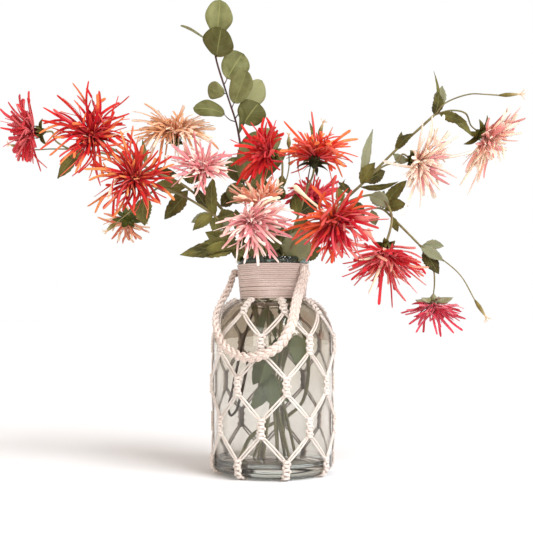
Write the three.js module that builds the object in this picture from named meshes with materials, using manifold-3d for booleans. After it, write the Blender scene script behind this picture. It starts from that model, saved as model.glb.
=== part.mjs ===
// Spider dahlias and a eucalyptus branch in a glass jar that hangs in a knotted cotton net.
// Millimetres, +Z up, the front of the arrangement towards -Y. The origin is the middle of the
// underside, on the flat disc where the net's cords are gathered below the jar.
import * as THREE from 'three';
import { mergeGeometries, mergeVertices } from 'three/addons/utils/BufferGeometryUtils.js';
import Module from 'manifold-3d';

const wasm = await Module();
wasm.setup();

// ---------------------------------------------------------------- driving dimensions
const FIT = 0.35; // clearance between pieces that touch
const ROUND_SIDES = 24; // flats around the jar and its collar

const JAR = {
  radius: 88.5,
  wall: 3.6,
  standZ: 3.6, // the jar stands this high, on the cords below it
  standRadius: 78,
  punt: 8, // rise of the underside in the middle
  floor: 11,
  shoulderZ: 190,
  neckZ: 256,
  neckRadius: 46,
  rimZ: 321,
  rimRadius: 54.5,
  lipZ: 313,
};
const CORNER = JAR.radius - JAR.standRadius; // radius of the rounded lower corner

const COLLAR = { bottomZ: 258, topZ: 312, flare: 5, cord: 3.1, wraps: 8 };

const NET = {
  columns: 8,
  turn: 11.5, // degrees from the front to the nearest knot of the odd rows
  lift: 0.85, // cords to glass
  knotWidth: 14,
  knotDepth: 4.8,
  pairWidth: 5.4,
  cord: 2.3,
  // upper and lower end of each row of knots
  rows: [[255.3, 233], [208.5, 177.5], [149.5, 118.5], [91, 59.5], [30, 15]],
  baseCord: 3,
  baseWidth: 9,
  discRadius: 14,
  discHeight: 5,
};

const HANDLE = { radius: 7, sides: 8, steps: 22 };

const PETAL = { width: 3.6, thickness: 1.5, core: 7.5, smallCore: 5.5 };
const CALYX = { neck: 9, waist: 5.5, sepals: 5, back: 0.3, droop: 0.3 };
const LEAF = { thickness: 1.8, root: 1.9 };
const BUD = { radius: 3, mouth: 1.5, threads: 3 };

// ---------------------------------------------------------------- small helpers
const vec = (x, y, z) => new THREE.Vector3(x, y, z);
const along = (a, b, t) => a.clone().lerp(b, t);
const rad = THREE.MathUtils.degToRad;

function seeded(seed) {
  let state = seed >>> 0;
  return () => {
    state = (state + 0x6d2b79f5) >>> 0;
    let t = state;
    t = Math.imul(t ^ (t >>> 15), t | 1);
    t ^= t + Math.imul(t ^ (t >>> 7), t | 61);
    return ((t ^ (t >>> 14)) >>> 0) / 4294967296;
  };
}

function closedMesh(points, faces) {
  const geometry = new THREE.BufferGeometry();
  geometry.setAttribute('position', new THREE.Float32BufferAttribute(points.flatMap((p) => [p.x, p.y, p.z]), 3));
  geometry.setIndex(faces.flat());
  return geometry;
}

// A closed mesh as a solid with its faces pointing out.
function solidOf(geometry) {
  const bare = new THREE.BufferGeometry();
  bare.setAttribute('position', geometry.getAttribute('position'));
  if (geometry.index) bare.setIndex(geometry.index);
  const merged = mergeVertices(bare, 1e-4);
  const at = merged.getAttribute('position').array;
  const faces = [];
  let volume = 0;
  for (let i = 0; i < merged.index.count; i += 3) {
    const [a, b, c] = [0, 1, 2].map((k) => merged.index.getX(i + k));
    if (a === b || b === c || a === c) continue;
    faces.push([a, b, c]);
    const [p, q, r] = [a, b, c].map((k) => vec(at[3 * k], at[3 * k + 1], at[3 * k + 2]));
    volume += p.dot(q.cross(r));
  }
  const triangles = volume < 0 ? faces.map(([a, b, c]) => [a, c, b]) : faces;
  return new wasm.Manifold(new wasm.Mesh({
    numProp: 3,
    vertProperties: new Float32Array(at),
    triVerts: new Uint32Array(triangles.flat()),
  }));
}

function fused(parts) {
  return parts.slice(1).reduce((whole, part) => whole.add(part), parts[0]);
}

function geometryOf(solid) {
  const { vertProperties, triVerts, numProp } = solid.getMesh();
  const points = [];
  for (let i = 0; i < vertProperties.length; i += numProp) {
    points.push(vertProperties[i], vertProperties[i + 1], vertProperties[i + 2]);
  }
  const geometry = new THREE.BufferGeometry();
  geometry.setAttribute('position', new THREE.Float32BufferAttribute(points, 3));
  geometry.setIndex(Array.from(triVerts));
  return geometry;
}

// The faces between rings with the same number of points, each ring joined to the next.
function ringFaces(count, n) {
  const faces = [];
  for (let j = 0; j + 1 < count; j++) {
    for (let i = 0; i < n; i++) {
      const [a, b] = [j * n + i, j * n + ((i + 1) % n)];
      faces.push([a, b, b + n], [a, b + n, a + n]);
    }
  }
  return faces;
}

const firstCap = (n) => Array.from({ length: n - 2 }, (_, i) => [0, i + 2, i + 1]);

function loft(rings) {
  const n = rings[0].length;
  const last = (rings.length - 1) * n;
  const lastCap = firstCap(n).map(([a, b, c]) => [last + a, last + c, last + b]);
  return closedMesh(rings.flat(), [...ringFaces(rings.length, n), ...firstCap(n), ...lastCap]);
}

// A round bar along a smooth curve through the points.
function tube(points, radius, sides, steps) {
  const section = new THREE.Shape(
    Array.from({ length: sides }, (_, i) => {
      const turn = (2 * Math.PI * i) / sides;
      return new THREE.Vector2(radius * Math.cos(turn), radius * Math.sin(turn));
    }),
  );
  const extrudePath = new THREE.CatmullRomCurve3(points, false, 'centripetal');
  return new THREE.ExtrudeGeometry(section, { steps, extrudePath, bevelEnabled: false });
}

function turned(profile) {
  const points = profile.map(([r, z]) => new THREE.Vector2(r, z));
  return new THREE.LatheGeometry(points, ROUND_SIDES).rotateX(Math.PI / 2);
}

// ---------------------------------------------------------------- clearance between pieces
// Every stem, leaf and petal leaves rods behind, which later petals keep clear of.
const rods = [];

function rodGap(a, b, c, d) {
  const u = b.clone().sub(a);
  const w = d.clone().sub(c);
  const r = a.clone().sub(c);
  const [uu, ww, uw, ur, wr] = [u.dot(u), w.dot(w), u.dot(w), u.dot(r), w.dot(r)];
  const det = uu * ww - uw * uw;
  let s = det > 1e-9 ? THREE.MathUtils.clamp((uw * wr - ur * ww) / det, 0, 1) : 0;
  const t = THREE.MathUtils.clamp((uw * s + wr) / ww, 0, 1);
  s = THREE.MathUtils.clamp((uw * t - ur) / uu, 0, 1);
  return a.clone().addScaledVector(u, s).distanceTo(c.clone().addScaledVector(w, t));
}

function layRods(owner, points, radius) {
  for (let i = 0; i + 1 < points.length; i++) {
    rods.push({ owner, a: points[i].clone(), b: points[i + 1].clone(), radius });
  }
}

function near(centre, reach) {
  return rods.filter(({ a, b, radius }) => rodGap(a, b, centre, centre.clone().addScalar(1e-3)) < reach + radius);
}

function isClear(points, radius, others, gap) {
  return others.every((rod) => {
    for (let i = 0; i + 1 < points.length; i++) {
      if (rodGap(points[i], points[i + 1], rod.a, rod.b) < radius + rod.radius + gap) return false;
    }
    return true;
  });
}

// ---------------------------------------------------------------- jar
// The outside of the glass at a height between the lower corner and the neck.
function glassAt(z) {
  const rise = Math.max(0, z - JAR.shoulderZ) / (JAR.neckZ - JAR.shoulderZ);
  const span = JAR.radius - JAR.neckRadius;
  const r = JAR.neckRadius + span * Math.sqrt(Math.max(0, 1 - rise * rise));
  const slope = new THREE.Vector2((r - JAR.neckRadius) / span ** 2, rise / (JAR.neckZ - JAR.shoulderZ)).normalize();
  return { r, out: slope.x, up: slope.y };
}

// A point off the glass, where angle 0 is the front and grows to the right.
function onGlass(angle, z, lift) {
  const { r, out, up } = glassAt(z);
  const reach = r + lift * out;
  return vec(reach * Math.sin(angle), -reach * Math.cos(angle), z + lift * up);
}

function arc(r0, z0, radius, from, to, count) {
  return Array.from({ length: count + 1 }, (_, i) => {
    const turn = rad(from + ((to - from) * i) / count);
    return [r0 + radius * Math.cos(turn), z0 + radius * Math.sin(turn)];
  });
}

function shoulder(drop) {
  const height = JAR.neckZ - JAR.shoulderZ - drop;
  const span = JAR.radius - JAR.neckRadius;
  return [0, 24, 46, 66, 86].map((turn) => [
    JAR.neckRadius - drop + span * Math.cos(rad(turn)),
    JAR.shoulderZ + height * Math.sin(rad(turn)),
  ]);
}

const neckTop = JAR.neckRadius + COLLAR.flare;
const floorRadius = JAR.standRadius - 6;

// The height of the jar's inner floor, which rises a little towards its middle.
function floorAt(x, y) {
  return JAR.standZ + JAR.floor + (JAR.punt / 2) * (1 - Math.hypot(x, y) / floorRadius);
}

function glassJar() {
  const { wall, standZ, standRadius, punt, floor } = JAR;
  const outside = [
    [0, standZ + punt],
    [standRadius - 18, standZ + 2.5],
    ...arc(standRadius, standZ + CORNER, CORNER, -90, 0, 3),
    ...shoulder(0),
    [JAR.neckRadius, COLLAR.bottomZ],
    [neckTop, COLLAR.topZ],
    [JAR.rimRadius, JAR.lipZ + 2],
    [JAR.rimRadius - 0.8, JAR.rimZ],
  ];
  const inside = [
    [neckTop - wall + 1, JAR.rimZ - 0.5],
    [JAR.neckRadius - wall, COLLAR.bottomZ],
    ...shoulder(wall).reverse(),
    [JAR.radius - wall, standZ + floor + CORNER],
    [floorRadius, standZ + floor],
    [0, standZ + floor + punt / 2],
  ];
  return solidOf(turned([...outside, ...inside]));
}

// ---------------------------------------------------------------- cord wound around the neck
function cordCollar() {
  const height = COLLAR.topZ - COLLAR.bottomZ;
  const inner = (z) => JAR.neckRadius + FIT + 0.15 + (COLLAR.flare * (z - COLLAR.bottomZ)) / height;
  const pitch = height / COLLAR.wraps;
  const ridges = Array.from({ length: COLLAR.wraps }, (_, i) => {
    const z = COLLAR.bottomZ + i * pitch;
    return [[inner(z) + COLLAR.cord - 1.2, z + 0.1], [inner(z) + COLLAR.cord, z + pitch / 2]];
  }).flat();
  const foot = [inner(COLLAR.bottomZ), COLLAR.bottomZ];
  const top = [[inner(COLLAR.topZ) + COLLAR.cord - 1.2, COLLAR.topZ], [inner(COLLAR.topZ), COLLAR.topZ]];
  return solidOf(turned([foot, ...ridges, ...top, foot]));
}

// ---------------------------------------------------------------- knotted net
// A section across a band that runs over the glass from one place to the next.
function bandRing(angle, z, heading, section) {
  const middle = onGlass(angle, z, 0);
  const out = onGlass(angle, z, 1).sub(middle);
  const side = heading.clone().cross(out).normalize();
  return section.map(([across, lift]) => middle.clone().addScaledVector(side, across).addScaledVector(out, lift));
}

function knotStations([top, bottom]) {
  const arcTo = (z) => Math.asin(THREE.MathUtils.clamp((z - JAR.shoulderZ) / (JAR.neckZ - JAR.shoulderZ), 0, 1));
  const count = 5;
  return Array.from({ length: count }, (_, i) => {
    const t = i / (count - 1);
    if (bottom <= JAR.shoulderZ) return top + (bottom - top) * t;
    const turn = THREE.MathUtils.lerp(arcTo(top), arcTo(bottom), t);
    return JAR.shoulderZ + (JAR.neckZ - JAR.shoulderZ) * Math.sin(turn);
  });
}

const downAt = (angle, z) => onGlass(angle, z - 0.5, 0).sub(onGlass(angle, z, 0));

// Two cords side by side, as one band with a groove along its middle.
function pairSection(shift, half, lift) {
  const high = lift + NET.cord;
  return [[-half, lift], [-half * 0.55, high], [0, lift + NET.cord * 0.4], [half * 0.55, high], [half, lift]]
    .map(([across, rise]) => [across + shift, rise]);
}

const knotSection = (bulge) => [[-1, 0], [-0.86, 1], [0.86, 1], [1, 0]].map(([across, rise]) =>
  [(across * NET.knotWidth * bulge) / 2, NET.lift + rise * NET.knotDepth * bulge]);

// One pair lies a little deeper in the knot than the other.
const pairAtKnot = (way) =>
  pairSection(way * (NET.pairWidth / 2 + 0.1), NET.pairWidth * 0.46, NET.lift + (way > 0 ? 0.9 : 0.5));

// A flat end of a knot, with the places where two pairs of cords go in left open.
function knotEnd(angle, z, up) {
  const flat = [knotSection(1), pairAtKnot(-1), pairAtKnot(1)].map((outline) =>
    outline.map((p) => new THREE.Vector2(...p)));
  const all = flat.flat();
  const faces = THREE.ShapeUtils.triangulateShape(flat[0], flat.slice(1)).map((face) => {
    const clockwise = THREE.ShapeUtils.area(face.map((k) => all[k])) < 0;
    return clockwise === up ? [...face].reverse() : face;
  });
  return closedMesh(bandRing(angle, z, downAt(angle, z), all.map(({ x, y }) => [x, y])), faces);
}

// A row of square knots: wide and thick where a knot bulges, narrow between two.
function knotRings(angle, row) {
  return knotStations(row).map((z, i) => bandRing(angle, z, downAt(angle, z), knotSection(i % 2 ? 0.8 : 1)));
}

// A pair of cords from the lower end of one knot to the upper end of the next one beside it.
function pairSides(from, to, way) {
  const slant = onGlass(...to, 0).sub(onGlass(...from, 0));
  const middle = [(from[0] + to[0]) / 2, (from[1] + to[1]) / 2];
  const rings = [
    bandRing(...from, downAt(...from), pairAtKnot(-way)),
    bandRing(...middle, slant, pairSection(0, NET.pairWidth / 2, NET.lift)),
    bandRing(...to, downAt(...to), pairAtKnot(way)),
  ];
  return closedMesh(rings.flat(), ringFaces(3, 5));
}

// From the lowest knot round the corner of the jar and on to the disc below its middle.
function baseRings(angle) {
  const middle = JAR.standZ + CORNER;
  const round = CORNER + NET.lift;
  const outward = vec(Math.sin(angle), -Math.cos(angle), 0);
  const places = [[-18, JAR.standRadius], [-54, JAR.standRadius], [-90, JAR.standRadius], [-90, NET.discRadius - 5]];
  return places.map(([turn, r]) => {
    const normal = outward.clone().multiplyScalar(Math.cos(rad(turn))).add(vec(0, 0, Math.sin(rad(turn))));
    const heading = outward.clone().multiplyScalar(Math.sin(rad(turn))).add(vec(0, 0, -Math.cos(rad(turn))));
    const side = heading.cross(normal).normalize();
    const half = NET.baseWidth / 2;
    return [[-half, 0], [-half, 1], [half, 1], [half, 0]].map(([across, rise]) => {
      const lift = turn === -90 ? middle - (1 - rise) * NET.baseCord : round + rise * NET.baseCord;
      return outward.clone().multiplyScalar(r).add(vec(0, 0, middle))
        .addScaledVector(side, across).addScaledVector(normal, lift);
    });
  });
}

function macrameNet() {
  const step = rad(360 / NET.columns);
  const pieces = [];
  NET.rows.forEach((row, r) => {
    const lowest = r + 1 === NET.rows.length;
    for (let c = 0; c < NET.columns; c++) {
      const angle = rad(NET.turn) + (c + (r % 2) / 2) * step;
      const rings = lowest ? [...knotRings(angle, row), ...baseRings(angle)] : knotRings(angle, row);
      const faces = ringFaces(rings.length, 4);
      if (r === 0) faces.push(...firstCap(4));
      if (r > 0) pieces.push(knotEnd(angle, row[0], true));
      const last = (rings.length - 1) * 4;
      if (lowest) faces.push([last, last + 1, last + 2], [last, last + 2, last + 3]);
      pieces.push(closedMesh(rings.flat(), faces));
      if (lowest) continue;
      pieces.push(knotEnd(angle, row[1], false));
      for (const way of [-1, 1]) {
        pieces.push(pairSides([angle, row[1]], [angle + (way * step) / 2, NET.rows[r + 1][0]], way));
      }
    }
  });
  const disc = new THREE.CylinderGeometry(NET.discRadius, NET.discRadius, NET.discHeight, 16);
  disc.rotateX(Math.PI / 2).translate(0, 0, NET.discHeight / 2);
  return fused([solidOf(mergeGeometries(pieces)), solidOf(disc)]);
}

// ---------------------------------------------------------------- carrying handle
// A plaited loop that leaves the left of the collar, lies across the jar and comes back to its right.
const handleRoute = [
  [-59.9, 10.4, 303], [-62, 4, 288], [-67, -12, 273], [-75, -27, 256], [-83, -40, 236],
  [-81, -60, 213], [-72, -73, 194], [-58, -85, 182], [-37, -97, 175.5], [-14, -102.5, 180],
  [7.5, -102, 192], [18.5, -99, 208], [27, -92, 227], [31.5, -77, 248], [36.5, -58, 266],
  [42, -46, 281], [46.5, -41, 297], [48.15, -37.2, 309],
].map((place) => vec(...place));

function carryHandle() {
  return solidOf(tube(handleRoute, HANDLE.radius, HANDLE.sides, HANDLE.steps));
}

// ---------------------------------------------------------------- leaves
// A blade from its root on the stem to its tip, with teeth or a soft wave along both edges.
// It faces the front, turned about its own length by roll degrees, with its edges lifted a little.
function bladeFrame(root, tip, roll) {
  const axis = tip.clone().sub(root).normalize();
  const front = vec(0.05, -1, 0.12);
  const face = front.addScaledVector(axis, -front.dot(axis)).normalize().applyAxisAngle(axis, rad(roll));
  return { axis, face, side: axis.clone().cross(face).normalize() };
}

const EDGES = {
  leaf: { at: [0.2, 0.4, 0.48, 0.66, 0.74], half: [0.45, 0.98, 0.76, 0.74, 0.5], cup: 0.16, arch: 0.08 },
  small: { at: [0.3, 0.5, 0.7], half: [0.94, 0.74, 0.62], cup: 0.16, arch: 0.08 },
  round: { at: [0.16, 0.4, 0.68, 0.9], half: [0.5, 0.98, 0.94, 0.5], cup: 0.1, arch: 0.06 },
};

// A place on a blade: t runs from root to tip, across in shares of the half width, lift along its face.
function bladePlace({ kind, root, tip, width, roll, stalk }) {
  const { axis, face, side } = bladeFrame(root, tip, roll);
  const length = root.distanceTo(tip);
  const start = stalk / length;
  return (t, across, lift) => {
    const u = start + t * (1 - start);
    const rise = EDGES[kind].arch * length * Math.sin(Math.PI * u) + lift;
    return root.clone().addScaledVector(axis, u * length).addScaledVector(side, (across * width) / 2)
      .addScaledVector(face, rise);
  };
}

// The blade is thickest in its middle and thins out to its edges, so both faces are fans of the same triangles.
function blade(leaf) {
  const { kind, root, tip, width, roll } = leaf;
  const { face, side } = bladeFrame(root, tip, roll);
  const { at, half, cup } = EDGES[kind];
  const place = bladePlace(leaf);
  const wave = (i) => ((cup * width) / 2) * (i % 2 ? 1 : 0.3);
  const right = at.map((t, i) => place(t, half[i], wave(i + 1)));
  const left = at.map((t, i) => place(t, -half[i], wave(i)));
  const r = LEAF.root / 2;
  const rootEdge = (way) => root.clone().addScaledVector(side, way * r).addScaledVector(face, r * 0.6);
  const sunk = (cup * width) / 5;
  const points = [
    rootEdge(-1),
    rootEdge(1),
    root.clone().addScaledVector(face, -r),
    ...right,
    tip,
    ...left.reverse(),
    place(0.42, 0, LEAF.thickness / 2 - sunk),
    place(0.42, 0, -LEAF.thickness / 2 - sunk),
  ];
  const rim = [1, ...Array.from({ length: 2 * at.length + 1 }, (_, i) => 3 + i), 0];
  const [upper, lower] = [points.length - 2, points.length - 1];
  const faces = [[0, 1, upper], [lower, 1, 2], [0, lower, 2], [1, 0, 2]];
  for (let i = 0; i + 1 < rim.length; i++) {
    faces.push([rim[i], rim[i + 1], upper], [rim[i + 1], rim[i], lower]);
  }
  return closedMesh(points, faces);
}

function bladeRods(leaf) {
  const place = bladePlace(leaf);
  return [-0.62, 0, 0.62].map((across) => [[0, 0.4], [0.35, 1], [0.66, 0.85], [0.97, 0.2]].map(([t, share]) =>
    place(t, across * share, 0)));
}

// ---------------------------------------------------------------- the arrangement
// Blooms: centre, the way the face looks, reach of the outer petals, the petals that reach furthest as seen
// from the front (clock angle from the right, reach), and how many more fill the head.
const BLOOMS = {
  bloom_01: { at: [-356, -10, 508], face: [-0.85, -0.45, -0.1], reach: 58, fill: 22, tone: 'crimson', tips: [
    [110, 59], [95, 61], [130, 60], [145, 62], [165, 51], [180, 42], [215, 48], [245, 47], [280, 60], [290, 57],
    [85, 36]] },
  bloom_02: { at: [-260, -60, 491], face: [0.02, -1, 0.1], reach: 80, fill: 22, tone: 'red', tips: [
    [110, 83], [90, 76], [72, 53], [50, 81], [20, 57], [5, 42], [150, 77], [165, 65], [182, 69], [197, 77],
    [212, 61], [235, 74], [255, 60], [290, 67], [345, 40], [130, 68]] },
  bloom_03: { at: [-196, -85, 427], face: [0.1, -1, 0.05], reach: 74, fill: 22, tone: 'red', tips: [
    [90, 72], [104, 63], [125, 57], [40, 40], [5, 46], [318, 59], [300, 49], [275, 50], [250, 52], [230, 61],
    [210, 78], [220, 74], [172, 63], [187, 58], [150, 53], [65, 44]] },
  bloom_04: { at: [-152, 52, 514], face: [0.05, -0.2, 0.97], reach: 72, fill: 22, tone: 'peach', tips: [
    [160, 72], [150, 77], [135, 62], [110, 40], [65, 42], [30, 50], [15, 59], [0, 52], [195, 53], [210, 46],
    [250, 47], [172, 71], [342, 71], [90, 44]] },
  bloom_05: { at: [-105, -38, 446], face: [0, -0.75, 0.65], reach: 60, fill: 22, tone: 'pink', tips: [
    [100, 54], [120, 60], [140, 55], [160, 57], [200, 42], [220, 38], [260, 43], [280, 41], [22, 50], [10, 46],
    [340, 46], [325, 46], [65, 44]] },
  bloom_06: { at: [-219, 2, 378], face: [-0.3, 0.85, -0.4], reach: 44, fill: 12, tone: 'apricot', tips: [
    [175, 44], [163, 40], [225, 38], [242, 38], [280, 32], [335, 34], [305, 32], [355, 28], [140, 30]] },
  bloom_07: { at: [-7, -24, 473], face: [-0.72, -0.65, 0.25], reach: 60, fill: 22, tone: 'red', tips: [
    [160, 60], [172, 50], [185, 54], [198, 60], [225, 66], [135, 56], [122, 48], [75, 44], [340, 24], [300, 34],
    [280, 44], [262, 55], [238, 54]] },
  bloom_08: { at: [-32, -108, 364], face: [0.1, -0.9, 0.15], reach: 66, fill: 22, tone: 'pink', tips: [
    [197, 52], [225, 55], [250, 62], [262, 60], [280, 63], [305, 69], [292, 54], [318, 46], [350, 50], [0, 52],
    [12, 62], [338, 63], [100, 22], [35, 50], [212, 42], [184, 48]] },
  bloom_09: { at: [-18, -22, 393], face: [-0.15, -0.3, 0.94], reach: 48, fill: 14, tone: 'peach', tips: [
    [118, 44], [98, 44], [70, 34], [45, 34], [172, 52], [158, 45], [136, 38], [22, 32]] },
  bloom_10: { at: [64, 20, 474], face: [0.1, 0.25, 0.96], reach: 70, fill: 22, tone: 'red', tips: [
    [130, 74], [115, 54], [95, 66], [75, 48], [58, 44], [44, 54], [36, 66], [24, 72], [0, 64], [325, 51],
    [300, 54], [185, 38], [165, 38]] },
  bloom_11: { at: [65, 74, 416], face: [0, -0.35, 0.93], reach: 44, fill: 14, tone: 'crimson', tips: [
    [155, 42], [138, 40], [120, 38], [100, 36], [80, 35], [60, 34], [45, 36], [25, 35], [180, 44]] },
  bloom_12: { at: [84, -108, 367], face: [0.1, -0.88, -0.45], reach: 76, fill: 22, tone: 'red', tips: [
    [140, 73], [193, 85], [215, 68], [235, 72], [250, 58], [270, 56], [305, 70], [12, 55], [345, 60], [45, 49],
    [60, 40], [0, 77], [288, 58], [325, 52]] },
  bloom_13: { at: [162, -62, 327], face: [-0.1, -0.35, -0.92], reach: 78, fill: 20, tone: 'red', tips: [
    [210, 74], [195, 62], [245, 69], [262, 78], [276, 82], [320, 77], [334, 60], [350, 40], [140, 42], [168, 46],
    [290, 77], [228, 66], [304, 74]] },
  bloom_14: { at: [215, -8, 465], face: [0.7, -0.5, -0.45], reach: 76, fill: 22, tone: 'peach', tips: [
    [90, 52], [75, 62], [60, 80], [30, 66], [10, 84], [330, 62], [300, 56], [282, 65], [270, 73], [255, 82],
    [180, 51], [235, 40], [315, 58]] },
  bloom_15: { at: [327, 40, 510], face: [0.68, -0.25, -0.66], reach: 70, fill: 22, tone: 'peach', tips: [
    [40, 65], [20, 58], [0, 46], [318, 46], [282, 50], [265, 68], [255, 96], [243, 84], [230, 62], [275, 60],
    [340, 42]] },
  bloom_16: { at: [245, 22, 252], face: [0.02, -0.1, -1], reach: 54, fill: 14, tone: 'crimson', tips: [
    [198, 50], [222, 48], [236, 52], [252, 45], [270, 46], [285, 52], [303, 53], [318, 60], [334, 51],
    [346, 47]] },
};
const SMALL_HEADS = ['bloom_06', 'bloom_09', 'bloom_11', 'bloom_16'];
const SEPALS = {
  bloom_16: { count: 5, reach: 26 },
  bloom_06: { count: 7, reach: 20 },
  bloom_10: { count: 6, reach: 22 },
};
const SEPAL_REACH = 16;

// A stem whose lower end stands on the inner floor of the jar has this instead of a height.
const FLOOR = 'floor';

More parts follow.
